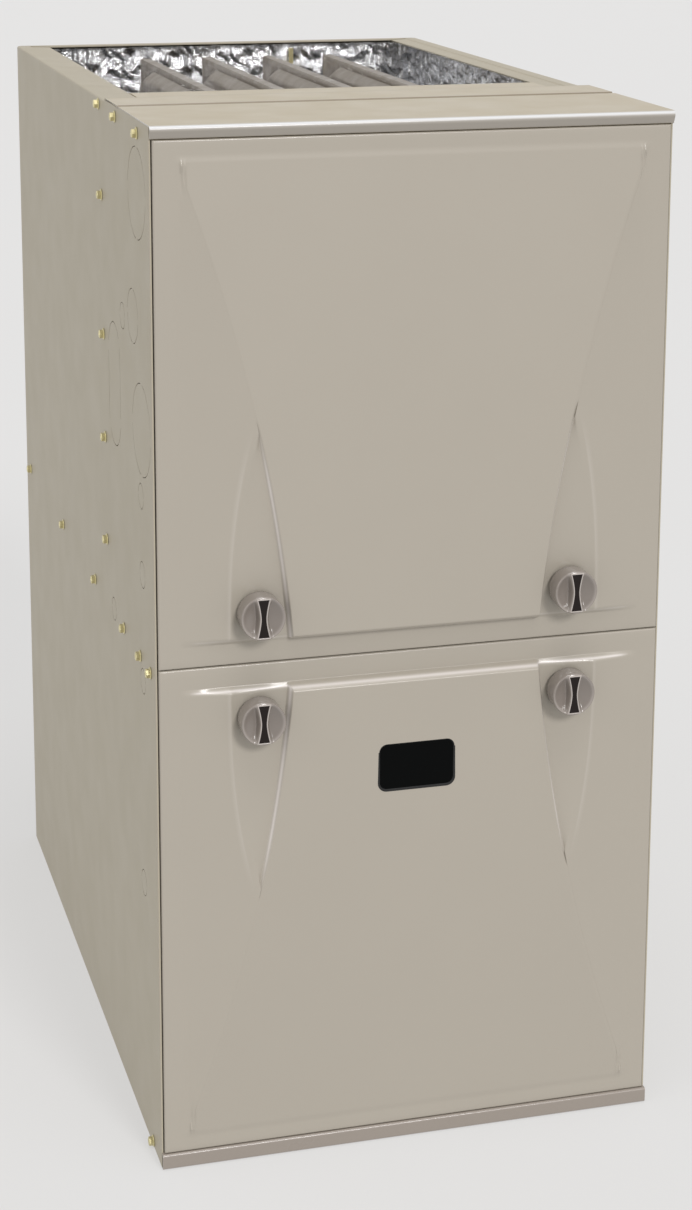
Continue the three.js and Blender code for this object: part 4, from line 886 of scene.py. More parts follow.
def door_columns(rows, corner_q):
    """Places across each row: dense at the step, the pocket's edges and the border."""
    places, _ = row_knots(rows, corner_q)
    right = []
    for a, steps in enumerate((4, 6, 8, 12, 4, 10, 4, 4)):
        t = np.linspace(0, 1, steps + 1)[1:]
        right.append(places[:, [a]] + t * (places[:, a + 1] - places[:, a])[:, None])
    rounding = places[:, [2, 3, 5]][:, :, None] + [-1.0, -0.5, 0.5, 1.0]
    right.append(rounding.reshape(len(rows), -1))
    right = np.sort(np.concatenate(right, 1), 1)
    return np.concatenate([-right[:, ::-1], 0 * rows[:, None], right], 1)


def door_surface(height, up):
    """The pressed skin with its edges rolled back 20 mm, as one grid of corners."""
    corner_q, bend = height - TOP_BORDER, DOOR_BEND
    rows = door_rows(height, corner_q)
    x = door_columns(rows, corner_q)
    rise = pressed_height(rows[:, None] + 0 * x, x, corner_q)
    angle = np.linspace(0, np.pi / 2, 5)[1:]
    back = np.array([DOOR_BACK - DOOR_FACE])
    turn_in = np.concatenate([bend * np.sin(angle), [bend]])
    turn_back = np.concatenate([bend * (1 - np.cos(angle)), back])
    squeeze, middle = (DOOR_HALF - bend) / DOOR_HALF, height / 2
    level = middle + (rows[:, None] - middle) * (height - 2 * bend) / height + 0 * x
    grid = np.stack([x * squeeze, DOOR_FACE - rise, level], -1)

    def side_edge(column, sign):
        """The left or right edge, rolled back round the bend and on to the door's back."""
        edge = np.repeat(grid[:, [column]], len(turn_in), 1)
        edge[..., 0] += sign * turn_in
        edge[..., 1] = DOOR_FACE + turn_back
        return edge

    grid = np.concatenate([side_edge(0, -1)[:, ::-1], grid, side_edge(-1, 1)], 1)

    def end_edge(row, sign):
        """The same for the edge at the split or at the far end."""
        edge = np.repeat(grid[[row]], len(turn_in), 0)
        edge[..., 2] += sign * turn_in[:, None]
        edge[..., 1] = np.maximum(edge[..., 1], DOOR_FACE + turn_back[:, None])
        return edge

    grid = np.concatenate([end_edge(0, -1)[::-1], grid, end_edge(-1, 1)], 0)
    grid[..., 2] = SPLIT + up * (SPLIT_GAP / 2 + grid[..., 2])
    if up < 0:
        grid = grid[::-1]
    return grid, [grid_faces(*grid.shape[:2])]


def ridges(height, up, foot_share, edge_share):
    """How near each corner is to the pressed ridges, the ramp's top line and the field's edges, and faintly
    to the pocket's outer edge: a painted highlight goes there.
    """
    def share(x, s, z):
        corner_q = height - TOP_BORDER
        q = up * (z - SPLIT) - SPLIT_GAP / 2
        reach = np.abs(x)
        foot_line = np.exp(-((q - STRIP - RAMP) / 0.9) ** 2) * eased((FIELD_CORNER - 8 - reach) / 12)
        edge = sweep_reach(q, corner_q)
        beside = np.exp(-((reach - edge + 0.4) / 0.9) ** 2)
        beside += 0.12 * np.exp(-((reach - outer_reach(q, edge)) / 0.8) ** 2)
        edge_line = beside * (q > STRIP + RAMP) * eased((TIP_Q - q) / 60)
        return np.maximum(foot_share * foot_line, edge_share * edge_line)
    return share


# The door enamel is painted lighter along the pressed ridges: a painted highlight.
door_paint = paint_light_and_shade(enamel("door_enamel", "greige_paint", GREIGE), "ridge", srgb(222, 216, 212))


def door(name, height, up, node, shares):
    """The skin, its faces turned to the front, given its thickness towards the back."""
    made = piece(name, [door_surface(height, up)], door_paint, body=node, stands_for=[node], crease=40,
                 outwards=False)
    # The ridge share carries the painted highlight.
    mark(made.data, "ridge", ridges(height, up, *shares))
    work = bmesh.new()
    work.from_mesh(made.data)
    if sum(f.normal.y * f.calc_area() for f in work.faces) > 0:
        bmesh.ops.reverse_faces(work, faces=work.faces)
    work.to_mesh(made.data)
    work.free()
    made.data.polygons.foreach_set("use_smooth", np.ones(len(made.data.polygons), bool))
    wall = made.modifiers.new("sheet thickness", "SOLIDIFY")
    wall.thickness = DOOR_SHEET * 0.001
    wall.offset = -1.0
    return made


UPPER_HEIGHT = NOSE_FOOT - 0.5 - SPLIT - SPLIT_GAP / 2
LOWER_HEIGHT = SPLIT - SPLIT_GAP / 2 - RAIL - 0.3
upper_door = door("pressed_upper_door", UPPER_HEIGHT, 1, "upper_door", (0.2, 0.95))
lower_door = door("pressed_lower_door", LOWER_HEIGHT, -1, "lower_door", (0.8, 0.9))
print("door grid corners:", len(upper_door.data.vertices), len(lower_door.data.vertices))

# %% [markdown]
# ## The sight window
#
# A window of dark plastic lets the status light of the control board be seen. The door has a
# real opening for it, with a soft black surround behind and the glossy pane close to it.

# %% Window opening, surround and pane
SIGHT_WIDTH, SIGHT_HEIGHT, SIGHT_LEVEL, SIGHT_CORNER = 66.0, 41.0, 346.0, 7.0


def sight_outline(extra):
    """The opening's outline, made wider all round by the extra."""
    return rounded_rectangle(SIGHT_WIDTH + 2 * extra, SIGHT_HEIGHT + 2 * extra,
                             SIGHT_CORNER + extra, 8, (0, SIGHT_LEVEL))


sight_q = np.array([SPLIT - SPLIT_GAP / 2 - SIGHT_LEVEL])
sight_depth = DOOR_FACE - field_rise(sight_q, LOWER_HEIGHT - TOP_BORDER)[0]
carve(lower_door, [bar(sight_outline(0), "s", sight_depth - 12, sight_depth + 12)])
lower_door.data.set_sharp_from_angle(angle=math.radians(40))
surround = [[-0.9, 0.6], [-0.3, -0.1], [0.6, -0.1], [6, 2.6], [6, 4.2], [-0.9, 4.2]]
piece("window_surround", [rim(sight_outline(0), surround, "s", sight_depth)], rubber, body="lower_door",
      stands_for=["sight_gasket"], crease=35)
pane = [bar(sight_outline(-0.3), "s", sight_depth + 1.0, sight_depth + 5.5)]
soften(piece("window_pane", pane, glass_finish, body="lower_door", stands_for=["sight_glass"]), 0.6, 3)
print("window pane", round(sight_depth, 2), "mm behind the nose")

# %% [markdown]
# ## Latch knobs
#
# Each door is held by two quarter-turn knobs of glossy plastic. The face has two finger scoops
# with an hourglass grip left standing between them, and in the grip a dark recess like a bow
# tie with a bright raised edge. A polar grid carries the depth of the face: a small rounded
# rim, and scoops that fall away steeply beside the grip and run out towards the rim.

# %% Knob faces
KNOB_RADIUS, KNOB_FACE, KNOB_BASE = 18.8, -21.3, -3.8
TIE_HEIGHT, TIE_END, TIE_WAIST, TIE_EDGE = 16.0, 4.7, 2.0, 1.0


def tie_reach(z):
    """Half width of the bow tie: narrow at the waist, widening as a power of 1.6."""
    return TIE_WAIST + (TIE_END - TIE_WAIST) * np.clip(np.abs(z) / TIE_HEIGHT, 0, 1) ** 1.6


def knob_depth(x, z):
    """Depth behind the face: the rim's quarter round, and scoops that start beside the grip."""
    r = np.hypot(x, z)
    edge = np.clip((r - (KNOB_RADIUS - 2.4)) / 2.4, 0, 1)
    shoulder = 2.4 * (1 - np.sqrt(np.clip(1 - edge ** 2, 0, 1)))
    beside = eased((np.abs(x) - tie_reach(z) - TIE_EDGE) / 2.6)
    bowl = np.clip(1 - (r / (KNOB_RADIUS - 0.8)) ** 2.4, 0, 1) ** 0.8
    return shoulder + 6.4 * beside * bowl


def bow_tie(steps=14):
    """Two straight ends and two sides that pull in towards the waist."""
    z = np.linspace(-TIE_HEIGHT, TIE_HEIGHT, steps + 1)
    side = tie_reach(z)
    return np.concatenate([np.stack([side, z], 1), np.stack([-side, -z], 1)])


def knob_parts(x0, z0):
    """The face as a polar grid, its last ring carried back as a skirt, in, and on as a shaft."""
    rings, sides = 56, 128
    radius = KNOB_RADIUS * np.sin(np.linspace(0, np.pi / 2, rings)) ** 0.9
    angle = np.linspace(0, 2 * np.pi, sides, endpoint=False)
    x, z = radius[:, None] * np.cos(angle), radius[:, None] * np.sin(angle)
    face = np.stack([x, KNOB_FACE + knob_depth(x, z), z], -1)
    skirt = np.array([[1.0, -9.0], [1.0, KNOB_BASE - 1.2], [0.975, KNOB_BASE],
                      [0.2, KNOB_BASE], [0.2, 22], [0, 22]])
    wall = np.stack([skirt[:, :1] * x[-1], np.repeat(skirt[:, 1:], sides, 1), skirt[:, :1] * z[-1]], -1)
    grid = np.concatenate([face, wall]) + [x0, 0, z0]
    return [(grid, [grid_faces(len(grid), sides, wrap_columns=True)])]


def rim_light(x0, z0):
    """A painted highlight: the rounded rim of a knob's face is painted a little lighter, where it would catch
    the light.
    """
    def share(x, s, z):
        near = np.exp(-((np.hypot(x - x0, z - z0) - KNOB_RADIUS + 1.5) / 1.1) ** 2)
        return 0.3 * (s < KNOB_FACE + 3) * near
    return share


tie_rim = [[-0.1, -0.1], [0.0, -0.6], [0.2, -0.8], [0.6, -0.75], [0.85, -0.4], [TIE_EDGE, 0.4], [0, 0.6]]
for up, level in ((1, "upper"), (-1, "lower")):
    for side, hand in ((-1, "left"), (1, "right")):
        x0, z0 = side * KNOB_ACROSS, SPLIT + up * KNOB_UP
        body = f"knob_{level}_{hand}"
        grip = piece(f"{body}_grip", knob_parts(x0, z0), knob_finish, body=body,
                     stands_for=[f"latch_{body}"], crease=50)
        # The rim of the face gets a painted highlight.
        mark(grip.data, "ridge", rim_light(x0, z0))
        tie = bow_tie() + [x0, z0]
        recess = bar(tie, "s", KNOB_FACE - 0.15, KNOB_FACE + 1)
        piece(f"{body}_recess", [recess], bow_finish, body=body)
        piece(f"{body}_edge", [rim(tie, tie_rim, "s", KNOB_FACE)], edge_finish, body=body, crease=60)
print("knobs: 4")

# %% [markdown]
# ## Screws
#
# Self-drilling screws with hexagonal washer heads, plated yellow, hold the cap, the panels,
# the shelf and the rail. One screw is a washer turned from a profile and a hexagon with a
# chamfered top; its corners are added to every place in one sum.

# %% Hex washer-head screws
def hex_screw(normal):
    """A screw head at the origin, standing out along an axis of the given sign."""
    axis, sign = normal
    washer = np.array([[0, 0.2], [4.9, 0.2], [5.1, 0.5], [4.8, 1.1], [3.9, 1.5], [0, 1.5]])
    hexagon = np.array([[0, 1.2], [3.95, 1.2], [3.95, 4.0], [3.3, 4.6], [1.6, 4.6], [1.2, 4.0],
                        [0, 4.0]])
    return joined([turned(profile * [1, sign], axis, [0, 0, 0], sides)
                   for profile, sides in ((washer, 16), (hexagon, 6))])


def screws(name, normal, places):
    """All screws of one wall as one piece."""
    return piece(name, [repeated(hex_screw(normal), places)], zinc, crease=30)


WALL_SCREWS = [(230, 881), (151, 879), (54, 877), (222, 803), (222, 680), (222, 587), (222, 493),
               (695, 435), (475, 435), (289.5, 435), (144.5, 435), (70, 435), (26, 435), (41, 5)]
BACK_SCREWS = [(x, DEPTH, z) for x in (-150, 0, 150) for z in (435, 60)]
screws("left_wall_screws", ("x", -1), [(-HALF, s, z) for s, z in WALL_SCREWS])
screws("right_wall_screws", ("x", 1), [(HALF, s, z) for s, z in WALL_SCREWS])
screws("back_screws", ("s", 1), BACK_SCREWS)
print("screws:", 2 * len(WALL_SCREWS) + len(BACK_SCREWS))

# %% [markdown]
# ## Crinkled foil
#
# The walls round the heat exchanger are lined with glass fibre faced with thin foil. Foil
# creases into flat facets with sharp ridges, and every facet mirrors something else, so it
# looks black and white at once. The lining is a real relief: four folded waves in different
# directions are added up, each wave a triangle with its phase pushed about by the ones before
# it. The rows lie closer near the top, where the foil shows. A small strap is screwed over
# the foil at the back.

# %% Foil linings
def crinkle(u, v, seed):
    """Ridges in four directions: a sum of triangle waves, each bent by those before it."""
    chance = np.random.default_rng(seed)
    total, push = np.zeros_like(u), np.zeros_like(u)
    for wave, slope in ((38, 0.05), (23, 0.09), (14, 0.14), (9, 0.16)):
        angle, phase = chance.uniform(0, np.pi), chance.uniform(0, 1)
        way = (u * math.cos(angle) + v * math.sin(angle)) / wave + phase + 0.8 * push
        fold = np.abs(2 * (way - np.floor(way)) - 1)
        push = push + (fold - 0.5) * 0.6
        total += fold * wave * slope
    return total - total.min()


foil = Finish("crinkled_foil", "foil_liner", srgb(240, 241, 244), 0.12, metallic=1.0)
fine = foil.noise(75, 6, 0.62)
fine.node.inputs["Distortion"].default_value = 1.4
foil.mottle(foil.noise(35, 4), 0.1)
foil.gloss(foil.noise(260, 3), 0.08, 0.2)
foil.grain(fine, 7.0, 0.5)
foil = foil.material


def lining(name, across, up, to_place, node, seed):
    """A relief over two spans, closed at the back by a flat sheet."""
    columns = np.linspace(*across, round((across[1] - across[0]) / 2.2))
    rows = np.concatenate([np.linspace(up[0], up[1] - 135, 34), np.linspace(up[1] - 132, up[1], 61)])
    u, v = np.meshgrid(columns, rows)
    relief = 1.2 + crinkle(u, v, seed)
    relief[[0, -1]] = 1.0
    relief[:, [0, -1]] = 1.0
    sheet = two_sided(to_place(u, v, relief), to_place(u, v, 0 * u))
    return piece(name, [sheet], foil, stands_for=[node], crease=30)


low, high = SHELF + 17, CASING_TOP - 1.5
inner = HALF - 1.5
for side, hand in ((-1, "left"), (1, "right")):
    lining(f"foil_{hand}", (232, DEPTH - 2), (low, high),
           lambda u, v, h, side=side: np.stack([side * (inner - h), u, v], -1), f"liner_{hand}", 3 + side)
lining("foil_back", (-inner + 0.5, inner - 0.5), (low, high),
       lambda u, v, h: np.stack([u, DEPTH - 1.6 - h, v], -1), "liner_back", 11)
strap = [block([73.5, 78.5], [DEPTH - 10.6, DEPTH - 9.6], [848, 879])]
soften(piece("foil_strap", strap, zinc), 0.3)
screws("foil_strap_screw", ("s", -1), [(76, DEPTH - 10.6, 856)])
print("foil linings: 3")

# %% [markdown]
# ## Heat exchanger cells
#
# Each cell is two pressed sheets, mirror images, crimped together at the rim. Between them a
# passage winds to the back and forth: it enters at the top in front, where a burner fires into
# it, and leaves at the bottom. The half thickness is a function of depth and height: a flat
# rim, and a round bulge within 30 mm of the passage's middle line.

# %% Pressed cells
CELL_LOW, CELL_HIGH, CELL_FRONT, CELL_REAR = 582.0, 878.0, 216.5, 646.5
PASS_PITCH, CELL_NECK, CELL_BELLY, PASS_REACH = 74.0, 6.0, 18.0, 30.0
REAR_TURN, FRONT_TURN = 560.0, 300.0
CELL_PLACES = [(i - 1.5) * 65.0 for i in range(4)]


def distance_to_passage(s, z):
    """Shortest way to four straight runs and the three half circles that join them."""
    nearest = np.full(s.shape, 1e3)
    levels = CELL_LOW + PASS_PITCH * (0.5 + np.arange(4))
    for k, level in enumerate(levels):
        first = CELL_FRONT - 30 if k in (0, 3) else FRONT_TURN
        along = np.clip(s, first, REAR_TURN)
        nearest = np.minimum(nearest, np.hypot(s - along, z - level))
    for k, (turn, way) in enumerate(((REAR_TURN, 1), (FRONT_TURN, -1), (REAR_TURN, 1))):
        middle = (levels[k] + levels[k + 1]) / 2
        arc = np.abs(np.hypot(s - turn, z - middle) - PASS_PITCH / 2)
        nearest = np.where((s - turn) * way > 0, np.minimum(nearest, arc), nearest)
    return nearest


def cell_parts(x0):
    """Two mirrored sheets about x0; their outermost corners are drawn in 1.2 mm at the rim."""
    s, z = np.meshgrid(np.linspace(CELL_FRONT, CELL_REAR, 130),
                       np.linspace(CELL_LOW, CELL_HIGH, 100))
    t = np.clip(1 - (distance_to_passage(s, z) / PASS_REACH) ** 2, 0, 1)
    half_width = CELL_NECK + (CELL_BELLY - CELL_NECK) * np.sqrt(np.clip(2.4 * t, 0, 1)) * (0.8 + 0.2 * t)
    rim = np.minimum(np.minimum(s - CELL_FRONT, CELL_REAR - s), np.minimum(z - CELL_LOW, CELL_HIGH - z))
    half_width = np.where(rim < 0.1, np.minimum(half_width, CELL_NECK - 1.2), half_width)
    return [two_sided(*[np.stack([x0 + sign * half_width, s, z], -1) for sign in (-1, 1)])]


for i, x0 in enumerate(CELL_PLACES, 1):
    piece(f"pressed_cell_{i}", cell_parts(x0), cell_steel, stands_for=[f"heat_cell_{i}"], crease=40)
print("cells:", len(CELL_PLACES))

# %% [markdown]
# ## Pieces taken over from the solids
#
# Brackets, trays and panels have their final shape in the frame already. Each is a copy of
# its solid with the corners merged and the flat triangles joined, and a live Bevel modifier
# rounds its edges as a folded or moulded edge is. Those in the first list are fixed to the
# cabinet; those in the second ride on the bodies that move.

# %% Softened copies
def softened(node, finish, width=0.4, body="cabinet", segments=2):
    """A copy of a solid with its flat faces joined and its edges rounded by a width in mm."""
    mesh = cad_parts[node].data.copy()
    for layer in ("custom_normal", "sharp_edge", "sharp_face"):
        if layer in mesh.attributes:
            mesh.attributes.remove(mesh.attributes[layer])
    work = bmesh.new()
    work.from_mesh(mesh)
    bmesh.ops.remove_doubles(work, verts=work.verts, dist=1e-6)
    bmesh.ops.dissolve_limit(work, angle_limit=math.radians(1), verts=work.verts, edges=work.edges)
    work.to_mesh(mesh)
    work.free()
    made = dress(bpy.data.objects.new(f"{node}_shell", mesh), finish, body, [node], 0)
    return soften(made, width, segments)


SHELLS = [("base_panel", galvanised, 0.3), ("blower_shelf", galvanised, 0.3),
          ("cell_panel", galvanised, 0.3), ("keeper_plate_left", galvanised, 0.4),
          ("keeper_plate_right", galvanised, 0.4), ("burner_box", aluminised, 0.35),
          ("transition_box", aluminised, 0.4), ("collector_box", black_plastic, 0.8),
          ("gas_valve", cast_metal, 1.2), ("condensate_trap", white_plastic, 2.0),
          ("motor_bracket", galvanised, 0.4), ("control_box", galvanised, 0.3),
          ("door_switch", black_plastic, 0.6)]
for node, finish, width in SHELLS:
    softened(node, finish, width)
RIDERS = [("gas_valve_lever", red_plastic, 0.8), ("rollout_reset", red_plastic, 0.5),
          ("door_switch_plunger", white_plastic, 0.4), ("inducer_wheel", aluminised, 0.15)]
RIDERS += [(f"latch_pawl_{level}_{hand}", zinc, 0.4)
           for level in ("upper", "lower") for hand in ("left", "right")]
for node, finish, width in RIDERS:
    softened(node, finish, width, node.replace("latch_pawl", "knob"))
print("softened copies:", len(SHELLS) + len(RIDERS))

# %% [markdown]
# ## Burners and gas train
#
# Gas comes through the valve into a pipe, the manifold, and leaves it by four small brass
# orifices. Each fires into the open mouth of an in-shot burner, a bell with a narrow throat,
# and the flame crosses the burner box into a cell. The igniter and the flame sensor are
# ceramic rods on small plates. All of them are profiles turned about an axis.

# %% Burners, manifold, valve trim and probes
BURNER_LEVEL = 841.0


def turned_solid(profile, axis, centre, sides=48, bend=0.5):
    """A closed solid of revolution: the profile starts and ends on the axis, its corners rounded."""
    radii = [0] + [bend] * (len(profile) - 2) + [0]
    return turned(rounded_path(profile, radii, 3), axis, centre, sides)


burner_line = [[11.5, 125.2], [13, 125.2], [8.06, 151.2], [11.96, 197.2], [11.96, 211.2], [19, 211.2],
               [19, 213.2], [10.4, 213.2], [10.4, 197.2], [6.5, 151.2]]
burner_ring = rounded_path(burner_line, [0.6, 0.6, 8, 8, 0.8, 0.8, 0.8, 0.8, 8, 8], 4, closed=True)
burner_ring = np.vstack([burner_ring, burner_ring[:1]])
for i, x0 in enumerate(CELL_PLACES, 1):
    piece(f"inshot_burner_{i}", [turned(burner_ring, "s", [x0, 0, BURNER_LEVEL], 48)], aluminised,
          stands_for=[f"burner_{i}"], crease=40)

pipe_line = [[0, -137.5], [9, -137.5], [9, 119.5], [0, 119.5]]
cap_line = [[0, 112], [11, 112], [11, 120.5], [8, 123], [0, 123]]
LUG_PLACES = (-16.25, 16.25)
lugs = [block([x - 6, x + 6], [118.5, 119.7], [828, 854]) for x in LUG_PLACES]
stems = [block([x - 3, x + 3], [98, 119.5], [837, 845]) for x in LUG_PLACES]
soften(piece("manifold_pipe", [turned_solid(pipe_line, "x", [0, 98, BURNER_LEVEL], 48, 1.0),
                               turned_solid(cap_line, "x", [0, 98, BURNER_LEVEL], 6)] + lugs + stems,
             black_paint, stands_for=["gas_manifold"]), 0.3)
orifice = [[0, 100], [6.6, 106], [6.6, 113], [5, 114], [5, 123.4], [3.8, 124.2], [0, 124.2]]
piece("orifices", [turned_solid(orifice, "s", [x, 0, BURNER_LEVEL], 24, 0.3) for x in CELL_PLACES],
      brass)
screws("manifold_screws", ("s", -1), [(x, 118.5, z) for x in LUG_PLACES for z in (833, 849)])

VALVE = [-163.8, 98, 0]
solenoid = turned_solid([[0, 869], [15, 869], [15, 880], [12, 882.6], [0, 882.6]], "z", VALVE, 48, 1.0)
soften(piece("valve_solenoid", [solenoid], black_plastic), 0.3)
inlet = [turned_solid([[0, 788], [14, 788], [14, 799], [0, 799]], "z", VALVE, 6, 0.8),
         turned_solid([[0, 786], [10.6, 786], [10.6, 790], [0, 790]], "z", VALVE, 40)]
soften(piece("valve_inlet", inlet, cast_metal), 0.4)
terminal = block([-1.6, 1.6], [0, 8], [-0.4, 0.4])
terminals = repeated(terminal, [(VALVE[0] + dx, 58.5, z) for dx in (-9, 0, 9) for z in (830, 824)])
piece("valve_terminals", [terminals], zinc)
screws("valve_screws", ("s", -1), [(VALVE[0] + dx, 70, z) for dx in (-20, 20) for z in (840, 866)])

rod_line = [[0, 108.6], [2, 108.6], [2, 111], [3.9, 112], [3.9, 128], [3.2, 130], [3.9, 132],
            [3.9, 153.7], [0, 153.7]]
for x0, node, tip in ((65.0, "igniter", 2.4), (-65.0, "flame_sensor", 1.4)):
    piece(f"{node}_rod", [turned_solid(rod_line, "s", [x0, 0, BURNER_LEVEL], 32, 0.3)], ceramic)
    tip_line = [[0, 153], [tip, 153], [tip, 206.7], [0, 206.7]]
    plate = [block([x0 - 7, x0 + 7], [118.5, 119.7], [832, 850]),
             turned_solid(tip_line, "s", [x0, 0, BURNER_LEVEL], 16)]
    soften(piece(f"{node}_plate", plate, aluminised, stands_for=[node]), 0.3)
switch_line = [[0, 133.8], [10, 133.8], [10, 142.8], [3.3, 142.8], [3.3, 137.8], [0, 137.8]]
piece("rollout_body", [turned_solid(switch_line, "x", [0, 166, 835], 48, 0.3)], black_plastic,
      stands_for=["rollout_switch"])
blades = [block([136, 142], [s - 0.4, s + 0.4], [832, 838]) for s in (155, 177)]
plate = block([133.8, 135], [150, 182], [829, 841])
soften(piece("rollout_plate", [plate, *blades], aluminised), 0.25)
print("burners:", len(CELL_PLACES))

# %% [markdown]
# ## Condensing coil and collector box
#
# Under the cells the cooled flue gas passes eighteen tubes threaded through thin aluminium
# fins, where its water condenses. The fins are one thin plate repeated along the tubes, with
# U bends joining the tubes at the rear. The water runs to a moulded collector box and a trap.

# %% Coil with its fins, and trim on the collector box and the trap
TUBE_PITCH, TUBE_ROWS = 320 / 6.5, 3
tube_places = [((i - 2.5) * TUBE_PITCH, 456 + 96 * (j + 0.5) / TUBE_ROWS)
               for i in range(6) for j in range(TUBE_ROWS)]
tube_line = [[0, 217], [8, 217], [8, 641.5], [0, 641.5]]
tubes = [turned_solid(tube_line, "s", [x, 0, z], 20) for x, z in tube_places]
half_turn = np.linspace(0, np.pi, 13)
u_bend = np.stack([0 * half_turn, 641 + 16 * np.sin(half_turn), 16 - 16 * np.cos(half_turn)], 1)
tubes += [pipe(u_bend + [x, 0, z], 7.6, 16) for x, z in tube_places[::TUBE_ROWS]]
piece("coil_tubes", tubes, aluminised, stands_for=["condensing_coil"])
end_plates = [block([-160, 160], span, [427.3, 552]) for span in ((216.5, 218), (639, 640.5))]
soften(piece("coil_plates", end_plates, galvanised), 0.3)
fin_places = np.arange(221, 637, 3.4)
fins = repeated(block([-157, 157], [0, 0.3], [458, 550]), [(0, s, 0) for s in fin_places])
piece("coil_fins", [fins], fin_metal)

rib_places = [-133, -124, -84, -74, -64, -54, 92, 101, 110, 119, 128]
ribs = repeated(block([0, 1.8], [170.2, 172.2], [456, 542]), [(x, 0, 0) for x in rib_places])
soften(piece("collector_ribs", [ribs], black_plastic), 0.4)
screws("collector_screws", ("s", -1), [(x, 172, z) for x in (-136, 136) for z in (452, 499, 546)])
trap_ribs = [block([-206.8, -149.2], [63.2, 140.8], [z, z + 2]) for z in (440, 462, 484)]
trap_line = [[0, 503], [7, 503], [7, 509], [4.6, 510], [4.6, 517], [0, 517]]
trap_cap = turned_solid(trap_line, "z", [-192, 84, 0], 32)
soften(piece("trap_ribs", trap_ribs + [trap_cap], white_plastic), 0.6)
print("fins:", len(fin_places))

# %% [markdown]
# ## Inducer and vent elbow
#
# The inducer is a small blower that pulls the flue gas through the cells. Its moulded housing
# is a spiral whose radius grows evenly round three quarters of a turn and then leaves
# straight upwards. The rubber elbow carries the gas to the side; its ribs are a wave in the
# radius along the route, held by a clamp at each end.

# %% Inducer housing, motor, elbow and pressure switch
def scroll(start, end, neck_top, neck_inner, steps):
    """A spiral from the top, radius growing evenly with the angle, and a straight neck upwards."""
    t = np.linspace(0, 1, steps + 1)
    angle = np.pi * (0.5 + 1.5 * t)
    radius = start + (end - start) * t
    spiral = np.stack([radius * np.cos(angle), radius * np.sin(angle)], 1)
    return np.vstack([spiral, [[end, neck_top], [neck_inner, neck_top], [neck_inner, start]]])


INDUCER = [26.0, 0.0, 506.0]
shell = scroll(52, 72, 92, 12, 72) + [INDUCER[0], INDUCER[2]]
soften(piece("inducer_shell", [bar(shell, "s", 132, 171)], black_plastic,
             stands_for=["inducer_housing"]), 2.2, 4)
seam = [bar(shifted(shell, -1.6, closed=True), "s", 150, 153.4)]
boss = turned_solid([[0, 125.8], [5, 125.8], [5.6, 133], [0, 133]], "s", [58, 0, 506], 20)
bosses = [around(boss, "s", INDUCER, 4, 45)]
spokes = [around(block([44, 53], [130.8, 132.6], [505.2, 506.8]), "s", INDUCER, 20, 9)]
soften(piece("inducer_trim", seam + bosses + spokes, black_plastic), 0.5)
motor_line = rounded_path([[3.5, 66], [29, 66], [37, 69], [41, 75], [41, 116.7], [37, 122.7],
                           [37, 125.7], [3.5, 125.7], [3.5, 66]], [0, 2, 2, 2, 2, 1, 1, 0, 0], 4)
piece("inducer_motor_shell", [turned(motor_line, "s", INDUCER, 72)], black_paint,
      stands_for=["inducer_motor"])
stack_line = [[40, 0], [41.7, 0.15], [41.7, 0.85], [40, 1.0], [40, 0]]
stack = repeated(turned(stack_line, "s", INDUCER, 72), [(0, s, 0) for s in np.arange(84, 108, 1.25)])
piece("inducer_stator", [stack], cast_metal, crease=40)
vanes = around(block([42, 58], [64.6, 67], [505, 507]), "s", INDUCER, 12)
soften(piece("inducer_motor_vanes", [vanes], black_paint), 0.4)

elbow_route = smooth_route([(68, 151.5, 598.3), (68, 151.5, 610.3), (78, 141.5, 622.3), (116, 115.5, 640.3),
                            (203.2, 89.5, 642.3), (217.2, 89.5, 642.3)], 170)
run = np.r_[0, np.cumsum(np.linalg.norm(np.diff(elbow_route, axis=0), axis=1))]
inside = eased((run - 16) / 4) * eased((run[-1] - 20 - run) / 4)
piece("vent_elbow_hose", [pipe(elbow_route, 18.6 + 1.3 * inside * np.sin(run * 2 * np.pi / 7.5), 48)], rubber,
      stands_for=["vent_elbow"], crease=60)
clamp_line = [[18.4, -4], [20.2, -4], [20.2, 4], [18.4, 4], [18.4, -4]]
clamps = [turned(clamp_line, "z", [68, 151.5, 605], 48), turned(clamp_line, "x", [208, 89.5, 642.3], 48),
          turned_solid([[0, -7], [3.2, -7], [3.2, 7], [0, 7]], "x", [68, 129.5, 605], 16),
          turned_solid([[0, -7], [3.2, -7], [3.2, 7], [0, 7]], "s", [208, 89.5, 664.2], 16)]
piece("elbow_clamps", clamps, zinc)

SWITCH = [-160.0, 0.0, 600.0]
disc_line = [[0, 190.7], [17, 190.7], [20, 192.5], [27, 194.5], [27, 200.6], [25.6, 201.4],
             [25.6, 203.4], [27, 204.2], [27, 210.6], [24, 212.6], [0, 212.6]]
spigot_line = [[0, 178.7], [3.2, 178.7], [4, 181], [3.4, 184], [4, 187], [3.4, 190], [6, 191], [0, 191]]
switch_body = [turned_solid(disc_line, "s", SWITCH, 72, 0.6), turned_solid(spigot_line, "s", SWITCH, 28),
               block([-169, -151], [184.7, 194.7], [612, 622])]
soften(piece("pressure_switch_body", switch_body, white_plastic, stands_for=["pressure_switch"]), 0.4)
tabs = [block([x, x + 4], [177, 185], [616.6, 617.4]) for x in (-166, -158)]
bracket = block([-190, -130], [211.7, 214.7], [586, 614])
soften(piece("pressure_switch_bracket", [bracket, *tabs], galvanised), 0.3)
screws("pressure_switch_screws", ("s", -1), [(x, 211.7, 600) for x in (-186.5, -133.5)])
print("inducer and elbow made")
